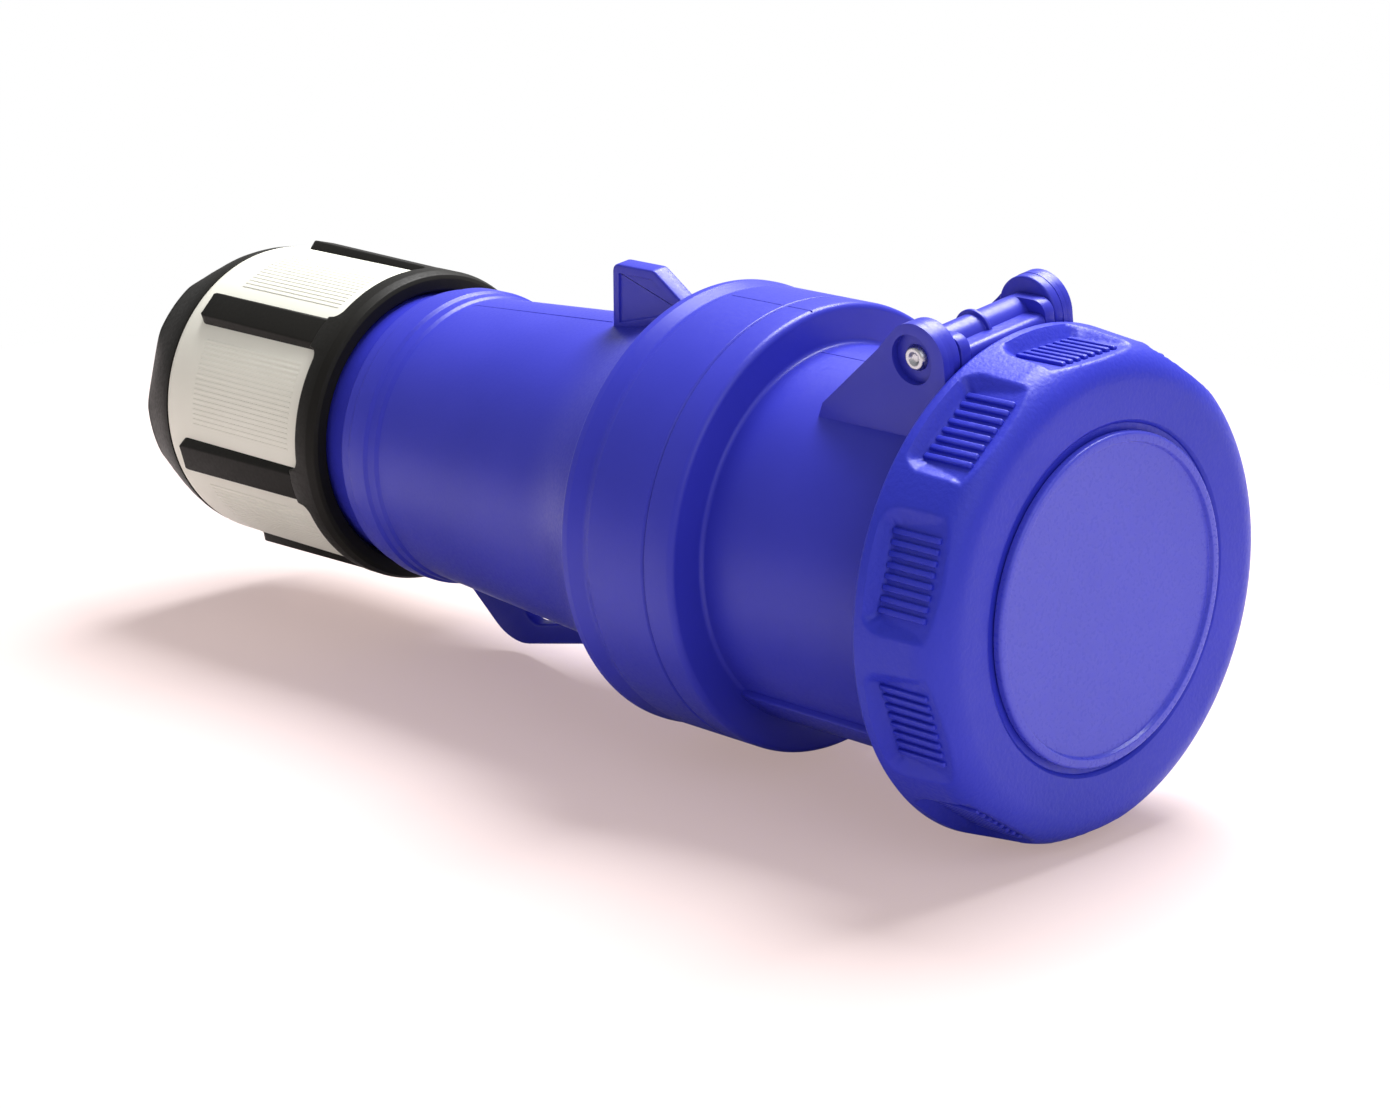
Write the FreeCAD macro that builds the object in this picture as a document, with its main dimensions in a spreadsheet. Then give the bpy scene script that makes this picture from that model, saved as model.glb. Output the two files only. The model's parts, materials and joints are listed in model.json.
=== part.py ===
import FreeCAD, Part
import math
import os

import Sketcher

# Industrial cable coupler: a heavy round socket for the end of a cable, with a screwed cable
# gland at the back and a sprung watertight lid at the front, held shut by a bayonet ring.
# The X axis is the axis of the coupler and points from the cable to the lid, Z points up to
# the hinge, and the origin is the centre of the cable's mouth. All sizes are in millimetres.

os.makedirs("parts", exist_ok=True)
doc = FreeCAD.newDocument("cable_coupler")
dims = doc.addObject("Spreadsheet::Sheet", "dims")

# Driving sizes: alias, value, meaning.
SIZES = [
    # Lengths along the axis, one after the other from the cable to the lid
    ("cap_depth", 15.6, "black end cap of the gland nut, along the axis"),
    ("shell_length", 54.9, "pale grip shell that shows between end cap and front band"),
    ("band_width", 7.4, "black front band of the nut"),
    ("neck_show", 7.1, "threaded neck that shows in front of the nut"),
    ("collar_width", 13.5, "stepped collar at the back of the rear housing"),
    ("body_length", 48.8, "tapering body of the rear housing"),
    ("flare_length", 30.0, "hollow flare from the body towards the flange"),
    ("back_face", 5.5, "steep back face of the flange, along the axis"),
    ("rear_flange_width", 25.7, "flange on the rear housing"),
    ("front_flange_width", 8.8, "flange on the front housing"),
    ("barrel_length", 71.7, "barrel from the flange to its open rim"),
    # Outside radii
    ("cap_rim_radius", 33.2, "end cap at its rounded back edge"),
    ("shell_radius", 38.0, "pale grip shell"),
    ("rib_radius", 40.5, "black ribs of the nut"),
    ("band_radius", 39.6, "front band"),
    ("band_lip_radius", 38.4, "front band at its front edge"),
    ("neck_radius", 33.8, "threaded neck of the rear housing"),
    ("collar_radius", 37.1, "collar"),
    ("body_radius", 35.7, "body where it leaves the collar"),
    ("body_front_radius", 38.9, "body where it meets the flare"),
    ("flare_radius", 46.4, "flare where it meets the back face of the flange"),
    ("flare_hollow", 60.0, "radius of the flare's hollow curve"),
    ("flange_rim", 52.3, "raised rim at the back of the flange"),
    ("flange_radius", 51.9, "flange"),
    ("barrel_radius", 42.6, "barrel"),
    ("ring_radius", 56.0, "bayonet ring at its back edge"),
    ("ring_front_radius", 54.6, "bayonet ring where its front rounding starts"),
    ("disc_radius", 36.3, "round plate in the middle of the lid"),
    # Walls and general clearances
    ("wall", 3.2, "wall of the housings"),
    ("seat_gap", 0.3, "clearance where one piece seats in another"),
    ("turn_gap", 0.6, "clearance between pieces that turn on each other"),
    ("bond_gap", 0.05, "clearance between a moulding and what it is moulded on"),
    ("split_chamfer", 0.5, "chamfer at the joint of the two housings"),
    # Gland nut
    ("mouth_radius", 22.0, "opening of the nut for the cable"),
    ("cap_wall", 3.0, "wall of the end cap"),
    ("shell_underlap", 2.0, "shell outside its thread, under the front band"),
    ("nut_lip", 1.2, "lip of the nut's front edge, along the axis"),
    ("edge_break", 0.6, "small chamfers of the mouldings"),
    ("cap_rounding", 3.0, "rounding of the back edge of the end cap"),
    ("rib_count", 6, "ribs round the nut"),
    ("rib_width", 9.6, "rib at its foot"),
    ("rib_top_width", 7.2, "rib at its top"),
    ("rib_length", 50.0, "rib, back from the front band"),
    ("rib_turn", 37.5, "angle of the first rib from the top, in degrees"),
    ("flat_depth", 1.5, "flats that make the end cap six-sided"),
    # Clamping cage and cable seal inside the nut
    ("neck_back", 22.5, "back end of the threaded neck, from the cable's mouth"),
    ("neck_bore", 30.2, "bore of the neck"),
    ("cage_flange", 2.2, "thickness of the cage's flange on the neck"),
    ("cage_depth", 26.0, "cage inside the neck"),
    ("cage_wall", 3.2, "wall of the cage"),
    ("finger_reach", 14.0, "fingers of the cage behind its flange"),
    ("finger_close", 4.0, "how far the fingers close in at their tips"),
    ("finger_count", 12, "fingers of the cage"),
    ("finger_slot", 1.6, "slot between two fingers"),
    ("cable_radius", 12.5, "cable that the seal holds"),
    ("seal_lip", 1.2, "depth of the grooves in the bore of the cable seal"),
    # Tab on the top of the rear housing
    ("tab_setback", 5.0, "back edge of the tab in front of the end of the body"),
    ("tab_lean", 2.6, "lean of the back edge"),
    ("tab_height", 54.9, "top of the tab above the axis"),
    ("tab_top", 13.0, "length of the top of the tab"),
    ("tab_slant", 11.0, "length of the slant in front of the top"),
    ("tab_drop", 7.6, "drop of the slant"),
    ("tab_thickness", 4.6, "tab across"),
    ("tab_round", 2.0, "rounding of the tab's corner"),
    ("tab_recess", 0.8, "depth of the recess in each side of the tab"),
    ("tab_border", 2.4, "border round the recess"),
    # Hanging loop under the rear housing
    ("loop_thickness", 6.0, "loop across"),
    ("loop_low", 53.5, "lowest point of the loop under the axis"),
    ("loop_back_drop", 41.3, "corner of the loop behind, under the axis"),
    ("loop_slant", 9.8, "length of the slanted back of the loop"),
    ("loop_round", 7.4, "length of the rounded lower corner"),
    ("loop_reach", 9.5, "end of the loop's bar in front of the end of the body"),
    ("loop_bar", 8.7, "height of the bar under the window"),
    ("loop_rise", 0.235, "rise of the bar towards the flange, per millimetre"),
    # Joint of the two housings
    ("spigot_length", 9.0, "spigot of the front housing inside the rear one"),
    ("spigot_wall", 3.0, "wall of the spigot"),
    ("joint_seal", 2.4, "width of the seal groove on the spigot"),
    ("joint_seal_wire", 0.95, "half the thickness of the ring seal's cord"),
    ("flange_round", 1.5, "rounding of the front edge of the flange"),
    # Front housing
    ("barrel_wall", 2.8, "wall of the barrel"),
    ("floor_thickness", 8.0, "floor of the barrel round the contact carrier"),
    ("key_angle", 103.0, "key ridge round the bottom of the barrel, in degrees"),
    ("key_height", 1.6, "key ridge above the barrel"),
    ("key_groove_angle", 20.0, "key groove inside the ridge, in degrees"),
    ("key_groove", 1.6, "depth of the key groove"),
    # Lugs of the barrel and hooks of the ring
    ("lug_setback", 4.5, "lugs behind the rim of the barrel"),
    ("lug_length", 4.5, "lugs along the axis"),
    ("lug_height", 3.4, "lugs above the barrel"),
    ("lug_angle", 22.0, "lugs round the barrel, in degrees"),
    ("lug_turn", 82.0, "start of the first lug from the top, in degrees"),
    ("second_lug_turn", -62.0, "start of the second lug"),
    ("hook_length", 4.0, "hooks of the ring along the axis"),
    ("hook_angle", 30.0, "hooks round the ring, in degrees"),
    ("hook_gap", 1.8, "clearance between the hooks and the barrel, which the lid's swing needs"),
    ("lock_turn", 35.0, "turn of the ring from open to locked, in degrees"),
    # Hinge
    ("hinge_setback", 24.0, "hinge pin behind the rim of the barrel"),
    ("hinge_height", 54.7, "hinge pin above the axis"),
    ("pin_radius", 2.0, "hinge pin"),
    ("pin_gap", 0.05, "clearance round the hinge pin"),
    ("pin_head_radius", 2.9, "head of the pin"),
    ("pin_head", 1.2, "thickness of the head"),
    ("boss_radius", 8.0, "round boss of each hinge ear"),
    ("boss_lead", 0.9, "centre of the boss in front of the pin"),
    ("boss_sink", 5.5, "radius of the sink for the pin's head"),
    ("sink_depth", 1.8, "depth of the sink"),
    ("ear_outside", 20.7, "outer face of the bosses from the middle"),
    ("ear_thickness", 5.5, "boss along the pin"),
    ("ear_web", 3.0, "web of the ear along the pin"),
    ("ear_foot", 29.2, "foot of the ear's slant behind the hinge pin"),
    ("ear_knee", 9.8, "bend of the slant behind the hinge pin"),
    ("ear_knee_height", 55.5, "bend of the slant above the axis"),
    ("ear_low", 37.0, "lower edge of the ear above the axis, inside the barrel's wall"),
    ("knuckle_radius", 4.3, "lid's knuckle round the pin"),
    ("knuckle_collar", 5.2, "raised collar on the knuckle"),
    ("collar_length", 1.0, "collar along the pin"),
    ("collar_shift", 1.5, "collar from the middle, towards the near side"),
    ("cheek_length", 2.9, "each cheek of the knuckle along the pin"),
    ("cheek_round", 3.0, "rounding of the cheeks' front corner"),
    ("web_stand", 1.5, "top of the web between the cheeks above the pin's middle"),
    ("spring_room", 3.5, "chamber for the spring in the knuckle"),
    ("spring_length", 17.0, "chamber along the pin"),
    ("spring_wire", 0.45, "radius of the spring's wire"),
    ("spring_radius", 2.75, "radius of the spring's turns"),
    ("spring_turns", 6, "turns of the spring"),
    ("arm_half_width", 12.0, "half the width of the lid's arm"),
    # Lid and ring
    ("ring_overlap", 14.6, "ring over the barrel"),
    ("ring_stand", 7.4, "front of the ring before the rim of the barrel"),
    ("ring_bore", 47.0, "bore of the ring over the barrel"),
    ("ring_round", 8.3, "rounding of the ring's front edge"),
    ("ring_edge", 0.9, "rounding of the ring's back edge"),
    ("disc_stand", 8.6, "front of the lid's plate before the rim of the barrel"),
    ("disc_thickness", 2.0, "lid plate at its rim"),
    ("disc_sink", 1.2, "flat middle of the plate behind its rim"),
    ("disc_rim", 2.6, "width of the plate's rim"),
    ("disc_groove", 1.5, "groove between the plate and the ring"),
    ("ledge_width", 3.0, "ring's ledge behind the plate"),
    ("ledge_thickness", 1.4, "thickness of the ledge"),
    ("lid_plate", 2.4, "thickness of the lid's inner plate"),
    ("lid_seal_depth", 2.1, "thickness of the lid's flat seal"),
    ("lid_edge", 46.2, "edge of the lid's inner plate, inside the ring"),
    ("lid_rim", 1.6, "rims beside the lid's seal"),
    ("seal_margin", 1.8, "lid seal beyond the barrel's rim, inwards and outwards"),
    ("arm_gap", 0.7, "clearance between the lid's arm and the barrel"),
    ("arm_thickness", 2.9, "lid's arm between barrel and ring"),
    # Grip pads of the ring
    ("pad_count", 10, "grip pads round the ring"),
    ("pad_turn", 5.0, "angle of the first pad from the top, in degrees"),
    ("pad_angle", 28.0, "each pad round the ring, in degrees"),
    ("pad_back", 2.8, "pads in front of the ring's back edge"),
    ("pad_length", 16.6, "pads along the axis"),
    ("pad_floor", 52.0, "flat floor of the pads, from the axis"),
    ("pad_round", 4.0, "rounding of the pads' corners"),
    ("grip_count", 8, "ridges in each pad"),
    ("grip_pitch", 2.1, "ridges, one to the next"),
    ("grip_width", 1.0, "ridge across"),
    ("grip_height", 1.0, "ridge above the pad's floor"),
    ("grip_length", 12.0, "ridge along the axis"),
    # Contact carrier
    ("carrier_radius", 34.8, "contact carrier inside the barrel"),
    ("carrier_setback", 3.0, "face of the carrier behind the rim of the barrel"),
    ("carrier_flange", 4.0, "flange of the carrier behind the floor"),
    ("carrier_flange_radius", 44.6, "flange of the carrier"),
    ("carrier_face", 4.0, "front wall of the carrier"),
    ("back_plate", 4.0, "plate that holds the contacts from behind"),
    ("contact_seat", 3.0, "depth of the seats for the contacts' collars"),
    ("contact_circle", 19.0, "contacts from the axis"),
    # Contacts
    ("pole_pin", 4.0, "radius of the line and neutral pins that the sleeves take"),
    ("earth_pin", 5.0, "radius of the earth pin"),
    ("pilot_pin", 3.0, "radius of the pilot pin"),
    ("pin_slide", 0.1, "clearance of a pin in its sleeve"),
    ("sleeve_wall", 1.9, "wall of the contact sleeves"),
    ("sleeve_slit", 1.0, "slit of the sleeves"),
    ("socket_depth", 44.0, "depth of the sockets behind the carrier's face"),
    ("clip_wall", 0.5, "spring clip round each sleeve"),
    ("clip_length", 7.0, "spring clip along the sleeve"),
    ("collar_step", 2.0, "collar of a contact outside its sleeve"),
    ("terminal_length", 19.0, "terminal of a contact behind the plate"),
    ("terminal_extra", 1.4, "terminal outside its sleeve"),
    ("terminal_wall", 2.8, "wall of a terminal round its wire bore"),
    ("wire_depth", 16.0, "depth of the wire bore"),
    # Fasteners
    ("clamp_screw", 2.5, "radius of the clamp screws"),
    ("carrier_screw", 1.75, "radius of the carrier screws"),
    ("carrier_screw_head", 3.0, "radius of their heads"),
    ("screw_circle", 39.0, "carrier screws from the axis"),
    ("screw_bite", 5.0, "carrier screws in the floor of the barrel"),
    ("clamp_screw_length", 6.0, "clamp screws"),
    ("clamp_screw_pitch", 7.4, "one clamp screw to the next"),
    ("clamp_screw_end", 4.2, "first clamp screw from the end of the terminal"),
]
for row, (alias, value, meaning) in enumerate(SIZES, 1):
    dims.set(f"A{row}", meaning)
    dims.set(f"B{row}", str(value))
    dims.setAlias(f"B{row}", alias)
doc.recompute()


def total(*names):
    """Expression for the sum of named sizes; a name may start with a minus sign."""
    return "(" + " + ".join(("-dims." + n[1:]) if n[0] == "-" else ("dims." + n) for n in names) + ")"


def size(expression):
    """Value of an expression over the named sizes."""
    return float(dims.evalExpression(expression))


# Stations along the axis
SHELL_BACK = total("cap_depth")
BAND_BACK = total("cap_depth", "shell_length")
NUT_FRONT = f"({BAND_BACK} + dims.band_width)"
COLLAR_BACK = f"({NUT_FRONT} + dims.neck_show)"
BODY_BACK = f"({COLLAR_BACK} + dims.collar_width)"
BODY_FRONT = f"({BODY_BACK} + dims.body_length)"
FLARE_END = f"({BODY_FRONT} + dims.flare_length)"
FLANGE_BACK = f"({FLARE_END} + dims.back_face)"
JOINT = f"({FLANGE_BACK} + dims.rear_flange_width)"
FLANGE_FACE = f"({JOINT} + dims.front_flange_width)"
RIM = f"({FLANGE_FACE} + dims.barrel_length)"
FLOOR_BACK = f"({FLANGE_FACE} - dims.wall)"
FLOOR_FRONT = f"({FLOOR_BACK} + dims.floor_thickness)"
RING_BACK = f"({RIM} - dims.ring_overlap)"
RING_FRONT = f"({RIM} + dims.ring_stand)"
DISC_FACE = f"({RIM} + dims.disc_stand)"
DISC_BACK = f"({DISC_FACE} - dims.disc_thickness)"
LEDGE_FRONT = f"({DISC_BACK} - dims.seat_gap)"
LEDGE_BACK = f"({LEDGE_FRONT} - dims.ledge_thickness)"
PLATE_FRONT = f"({LEDGE_BACK} - dims.seat_gap)"
PLATE_BACK = f"({PLATE_FRONT} - dims.lid_plate)"
SEAL_BACK = f"({PLATE_BACK} - dims.lid_seal_depth)"
HINGE_X = f"({RIM} - dims.hinge_setback)"
BARREL_BORE = total("barrel_radius", "-barrel_wall")
SPIGOT_BACK = f"({JOINT} - dims.spigot_length)"
JOINT_BORE = total("flange_radius", "-wall")
SPIGOT_RADIUS = f"({JOINT_BORE} - dims.seat_gap)"
SPIGOT_BORE = f"({SPIGOT_RADIUS} - dims.spigot_wall)"
LEDGE_BORE = total("disc_radius", "-ledge_width")
ARM_BELOW = total("barrel_radius", "arm_gap")
ARM_ABOVE = f"({ARM_BELOW} + dims.arm_thickness)"
CARRIER_FACE = f"({RIM} - dims.carrier_setback)"
CARRIER_BACK = f"({FLOOR_BACK} - dims.seat_gap - dims.carrier_flange)"
BACK_PLATE_FRONT = f"({CARRIER_BACK} - dims.seat_gap)"
BACK_PLATE_BACK = f"({BACK_PLATE_FRONT} - dims.back_plate)"
LUG_FRONT = f"({RIM} - dims.lug_setback)"
LUG_BACK = f"({LUG_FRONT} - dims.lug_length)"
HOOK_FRONT = f"({LUG_BACK} - dims.turn_gap)"
HOOK_BACK = f"({HOOK_FRONT} - dims.hook_length)"

# Contacts: name, radius of the pin, distance from the axis, angle from the top, clamp screws
CONTACTS = [
    ("line", "dims.pole_pin", "dims.contact_circle", 60, 2),
    ("neutral", "dims.pole_pin", "dims.contact_circle", -60, 2),
    ("earth", "dims.earth_pin", "dims.contact_circle", 180, 2),
    ("pilot", "dims.pilot_pin", "0 * dims.contact_circle", 0, 1),
]
SCREW_ANGLES = [0, 120, 240]


def arc_between(start, end, radius):
    """Arc of a circle from start to end; it runs anticlockwise when the radius is positive."""
    chord = end - start
    half = chord.Length / 2
    side = 1 if radius > 0 else -1
    height = math.sqrt(max(radius * radius - half * half, 0))
    across = FreeCAD.Vector(-chord.y, chord.x, 0) * (side * height / chord.Length)
    centre = (start + end) * 0.5 + across
    first, last = (start, end) if radius > 0 else (end, start)
    begin = math.atan2(first.y - centre.y, first.x - centre.x)
    stop = math.atan2(last.y - centre.y, last.x - centre.x)
    circle = Part.Circle(centre, FreeCAD.Vector(0, 0, 1), abs(radius))
    return Part.ArcOfCircle(circle, begin, stop)


def new_body(name):
    """Empty body whose label is the name of a sub-part."""
    return doc.addObject("PartDesign::Body", name)


def new_sketch(body, name, plane, lift="0", turn="0"):
    """Sketch on an origin plane of the body, lifted along the plane's normal and turned on it."""
    sketch = body.newObject("Sketcher::SketchObject", name)
    planes = {feature.Role: feature for feature in body.Origin.OriginFeatures}
    sketch.AttachmentSupport = [(planes[plane], "")]
    sketch.MapMode = "FlatFace"
    sketch.AttachmentOffset = FreeCAD.Placement(FreeCAD.Vector(), FreeCAD.Rotation(FreeCAD.Vector(0, 0, 1), 1))
    sketch.setExpression("AttachmentOffset.Base.z", lift)
    sketch.setExpression("AttachmentOffset.Rotation.Angle", turn)
    return sketch


def fix_point(sketch, edge, point, across, up):
    """Hold one end of an edge at a place given by two expressions."""
    for kind, axis, text in (("DistanceX", -2, across), ("DistanceY", -1, up)):
        if text == "0":
            sketch.addConstraint(Sketcher.Constraint("PointOnObject", edge, point, axis))
        else:
            number = sketch.addConstraint(Sketcher.Constraint(kind, edge, point, size(text)))
            sketch.setExpression(f"Constraints[{number}]", text)


def draw_outline(sketch, outline):
    """Closed outline of (across, up) expressions; a third one is the radius of the arc to there."""
    places = [FreeCAD.Vector(size(corner[0]), size(corner[1]), 0) for corner in outline]
    first = sketch.GeometryCount
    ends = []
    for index, corner in enumerate(outline):
        start, end = places[index - 1], places[index]
        if len(corner) == 3:
            radius = size(corner[2])
            sketch.addGeometry(arc_between(start, end, radius), False)
            ends.append((1, 2) if radius > 0 else (2, 1))
        else:
            sketch.addGeometry(Part.LineSegment(start, end), False)
            ends.append((1, 2))
    for index, corner in enumerate(outline):
        edge = first + index
        after = (index + 1) % len(outline)
        tail, head = ends[index][1], ends[after][0]
        sketch.addConstraint(Sketcher.Constraint("Coincident", edge, tail, first + after, head))
        fix_point(sketch, edge, tail, corner[0], corner[1])
        if len(corner) == 3:
            number = sketch.addConstraint(Sketcher.Constraint("Radius", edge, abs(size(corner[2]))))
            sketch.setExpression(f"Constraints[{number}]", f"abs({corner[2]})")


def draw_circle(sketch, across, up, radius):
    """Circle whose centre and radius are expressions."""
    centre = FreeCAD.Vector(size(across), size(up), 0)
    edge = sketch.addGeometry(Part.Circle(centre, FreeCAD.Vector(0, 0, 1), size(radius)), False)
    fix_point(sketch, edge, 3, across, up)
    number = sketch.addConstraint(Sketcher.Constraint("Radius", edge, size(radius)))
    sketch.setExpression(f"Constraints[{number}]", radius)


def revolve(body, name, outline, cut=False, plane="XZ_Plane"):
    """Turn an outline of (station, radius) about the X axis, as material or as a groove."""
    sketch = new_sketch(body, name + "_outline", plane)
    draw_outline(sketch, outline)
    feature = body.newObject("PartDesign::Groove" if cut else "PartDesign::Revolution", name)
    feature.Profile = sketch
    feature.ReferenceAxis = (sketch, ["H_Axis"])
    feature.Angle = 360
    doc.recompute()
    return feature


def extrude(body, name, sketch, length, cut=False, side="One side", back=False):
    """Pad or pocket of a sketch."""
    feature = body.newObject("PartDesign::Pocket" if cut else "PartDesign::Pad", name)
    feature.Profile = sketch
    feature.setExpression("Length", length)
    feature.SideType = side
    feature.Reversed = back
    doc.recompute()
    return feature


def spread(body, name, features, count, turn="360"):
    """Repeat features round the X axis."""
    pattern = body.newObject("PartDesign::PolarPattern", name)
    pattern.Originals = features
    axes = {feature.Role: feature for feature in body.Origin.OriginFeatures}
    pattern.Axis = (axes["X_Axis"], [""])
    pattern.setExpression("Angle", turn)
    pattern.setExpression("Occurrences", count)
    body.Tip = pattern
    doc.recompute()
    return pattern


def annular_sector(inside, outside, start, stop):
    """Outline of a part of a round wall; angles run from the top towards +Y."""
    return [
        (f"{inside} * sin({start})", f"{inside} * cos({start})", inside),
        (f"{outside} * sin({start})", f"{outside} * cos({start})"),
        (f"{outside} * sin({stop})", f"{outside} * cos({stop})", f"-{outside}"),
        (f"{inside} * sin({stop})", f"{inside} * cos({stop})"),
    ]


def mirror(body, name, features):
    """Repeat features on the other side of the XZ plane."""
    mirrored = body.newObject("PartDesign::Mirrored", name)
    mirrored.Originals = features
    planes = {feature.Role: feature for feature in body.Origin.OriginFeatures}
    mirrored.MirrorPlane = (planes["XZ_Plane"], [""])
    body.Tip = mirrored
    doc.recompute()
    return mirrored


# Gland nut: pale grip shell
nut = new_body("gland_nut")
SHELL_STEP = f"({BAND_BACK} - dims.bond_gap)"
CONE_FOOT = total("cap_rim_radius", "-cap_wall")
NUT_BORE = total("neck_radius", "turn_gap")
SHELL_UNDER = f"({NUT_BORE} + dims.shell_underlap)"
revolve(nut, "shell", [
    ("dims.cap_wall", "dims.mouth_radius + 0.4"),
    ("dims.cap_wall", f"{CONE_FOOT} - dims.bond_gap"),
    (SHELL_BACK, "dims.shell_radius - dims.cap_wall"),
    (SHELL_BACK, "dims.shell_radius - dims.edge_break"),
    (f"{SHELL_BACK} + dims.edge_break", "dims.shell_radius"),
    (SHELL_STEP, "dims.shell_radius"),
    (SHELL_STEP, SHELL_UNDER),
    (f"{NUT_FRONT} - dims.nut_lip", SHELL_UNDER),
    (f"{NUT_FRONT} - dims.nut_lip", NUT_BORE),
    (f"{SHELL_BACK} + 2.4", NUT_BORE),
    ("dims.cap_wall + 2.6", f"{CONE_FOOT} - dims.wall"),
    ("dims.cap_wall + 2.6", "dims.mouth_radius + 0.4"),
])

# Gland nut: black end cap moulded over the back of the shell, with six flats
end_cap = new_body("nut_end_cap")
revolve(end_cap, "cap", [
    ("0", "dims.mouth_radius"),
    ("0", "dims.cap_rim_radius - dims.cap_rounding"),
    ("dims.cap_rounding * 0.8", "dims.cap_rim_radius", "-dims.cap_rounding"),
    (f"{SHELL_BACK} - dims.bond_gap", "dims.shell_radius - 0.3"),
    (f"{SHELL_BACK} - dims.bond_gap", "dims.shell_radius - dims.cap_wall + dims.bond_gap"),
    ("dims.cap_wall - dims.bond_gap", f"{CONE_FOOT}"),
    ("dims.cap_wall - dims.bond_gap", "dims.mouth_radius"),
])
flat = new_sketch(end_cap, "flat_outline", "XZ_Plane")
draw_outline(flat, [
    ("-1", "dims.cap_rim_radius - dims.flat_depth"),
    (f"{SHELL_BACK} * 0.75", "dims.shell_radius + 0.2"),
    (f"{SHELL_BACK} * 0.75", "dims.shell_radius + 4"),
    ("-1", "dims.shell_radius + 4"),
])
flat_cut = extrude(end_cap, "flat", flat, "dims.cap_rim_radius * 2", cut=True, side="Symmetric")
spread(end_cap, "flats", [flat_cut], "dims.rib_count")
end_cap.Placement = FreeCAD.Placement(FreeCAD.Vector(), FreeCAD.Rotation(FreeCAD.Vector(-1, 0, 0), 1))
end_cap.setExpression("Placement.Rotation.Angle", "dims.rib_turn - 180 / dims.rib_count")

# Gland nut: black band and ribs moulded on the shell
band = new_body("nut_grip")
revolve(band, "band", [
    (BAND_BACK, f"{SHELL_UNDER} + dims.bond_gap"),
    (BAND_BACK, "dims.band_radius"),
    (f"{NUT_FRONT} - 2.4", "dims.band_radius"),
    (NUT_FRONT, "dims.band_lip_radius"),
    (NUT_FRONT, NUT_BORE),
    (f"{NUT_FRONT} - dims.nut_lip + dims.bond_gap", NUT_BORE),
    (f"{NUT_FRONT} - dims.nut_lip + dims.bond_gap", f"{SHELL_UNDER} + dims.bond_gap"),
])
rib = new_sketch(band, "rib_section", "YZ_Plane", f"{BAND_BACK} + 1 - dims.rib_length", "dims.rib_turn")
RIB_FOOT = total("shell_radius", "bond_gap")
RIB_SIDE = f"({RIB_FOOT} * cos(asin(dims.rib_width / 2 / {RIB_FOOT})))"
draw_outline(rib, [
    ("-dims.rib_width / 2", RIB_SIDE, RIB_FOOT),
    ("-dims.rib_top_width / 2", "dims.rib_radius - 0.2"),
    ("dims.rib_top_width / 2", "dims.rib_radius - 0.2", "-dims.rib_radius"),
    ("dims.rib_width / 2", RIB_SIDE),
])
rib_pad = extrude(band, "rib", rib, "dims.rib_length")
spread(band, "ribs", [rib_pad], "dims.rib_count")

# Clamping cage inside the nut: flange on the end of the neck, sleeve and closing fingers
cage = new_body("clamping_cage")
CAGE_OUTSIDE = total("neck_bore", "-seat_gap")
CAGE_BORE = f"({CAGE_OUTSIDE} - dims.cage_wall)"
CAGE_BACK = total("neck_back", "-cage_flange")
CAGE_FRONT = total("neck_back", "cage_depth")
FINGER_END = f"({CAGE_BACK} - dims.finger_reach)"
SEAL_RADIUS = f"({CAGE_BORE} - dims.seat_gap)"
revolve(cage, "cage", [
    (CAGE_BACK, f"{CAGE_OUTSIDE} - 0.6"),
    (CAGE_BACK, "dims.neck_radius - 0.4"),
    ("dims.neck_back", "dims.neck_radius - 0.4"),
    ("dims.neck_back", CAGE_OUTSIDE),
    (CAGE_FRONT, CAGE_OUTSIDE),
    (CAGE_FRONT, f"{CAGE_BORE} - 3"),
    (f"{CAGE_FRONT} - 2", f"{CAGE_BORE} - 3"),
    (f"{CAGE_FRONT} - 2", CAGE_BORE),
    (CAGE_BACK, CAGE_BORE),
    (FINGER_END, f"{CAGE_BORE} - dims.finger_close"),
    (FINGER_END, f"{CAGE_OUTSIDE} - 0.6 - dims.finger_close"),
])
slot = new_sketch(cage, "finger_slot_outline", "XZ_Plane")
draw_outline(slot, [
    (f"{FINGER_END} - 1", f"{CAGE_BORE} - dims.finger_close - 2"),
    (f"{CAGE_BACK} - 1", f"{CAGE_BORE} - dims.finger_close - 2"),
    (f"{CAGE_BACK} - 1", f"{CAGE_OUTSIDE} + 2"),
    (f"{FINGER_END} - 1", f"{CAGE_OUTSIDE} + 2"),
])
slot_cut = extrude(cage, "finger_slot", slot, "dims.finger_slot", cut=True, side="Symmetric")
spread(cage, "finger_slots", [slot_cut], "dims.finger_count")

# Cable seal in the cage: rubber sleeve with three lips in its bore
seal = new_body("cable_seal")
SEAL_BACK_END = f"({FINGER_END} + 2)"
SEAL_FRONT_END = f"({CAGE_FRONT} - 2 - dims.seat_gap)"
LIP_STEP = f"(({SEAL_FRONT_END} - {SEAL_BACK_END}) / 7)"
SEAL_TIP = f"({SEAL_RADIUS} - dims.finger_close * (dims.finger_reach - 2) / dims.finger_reach)"
lips = []
for number in range(3):
    for place, radius in ((0.9, ""), (1.3, " + dims.seal_lip"), (2.1, " + dims.seal_lip"), (2.5, "")):
        lips.append((f"{SEAL_BACK_END} + {LIP_STEP} * {2 * number + place}", "dims.cable_radius" + radius))
revolve(seal, "seal", [
    (SEAL_FRONT_END, "dims.cable_radius"),
    (SEAL_FRONT_END, SEAL_RADIUS),
    (CAGE_BACK, SEAL_RADIUS),
    (SEAL_BACK_END, SEAL_TIP),
    (SEAL_BACK_END, "dims.cable_radius"),
] + lips)

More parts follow.
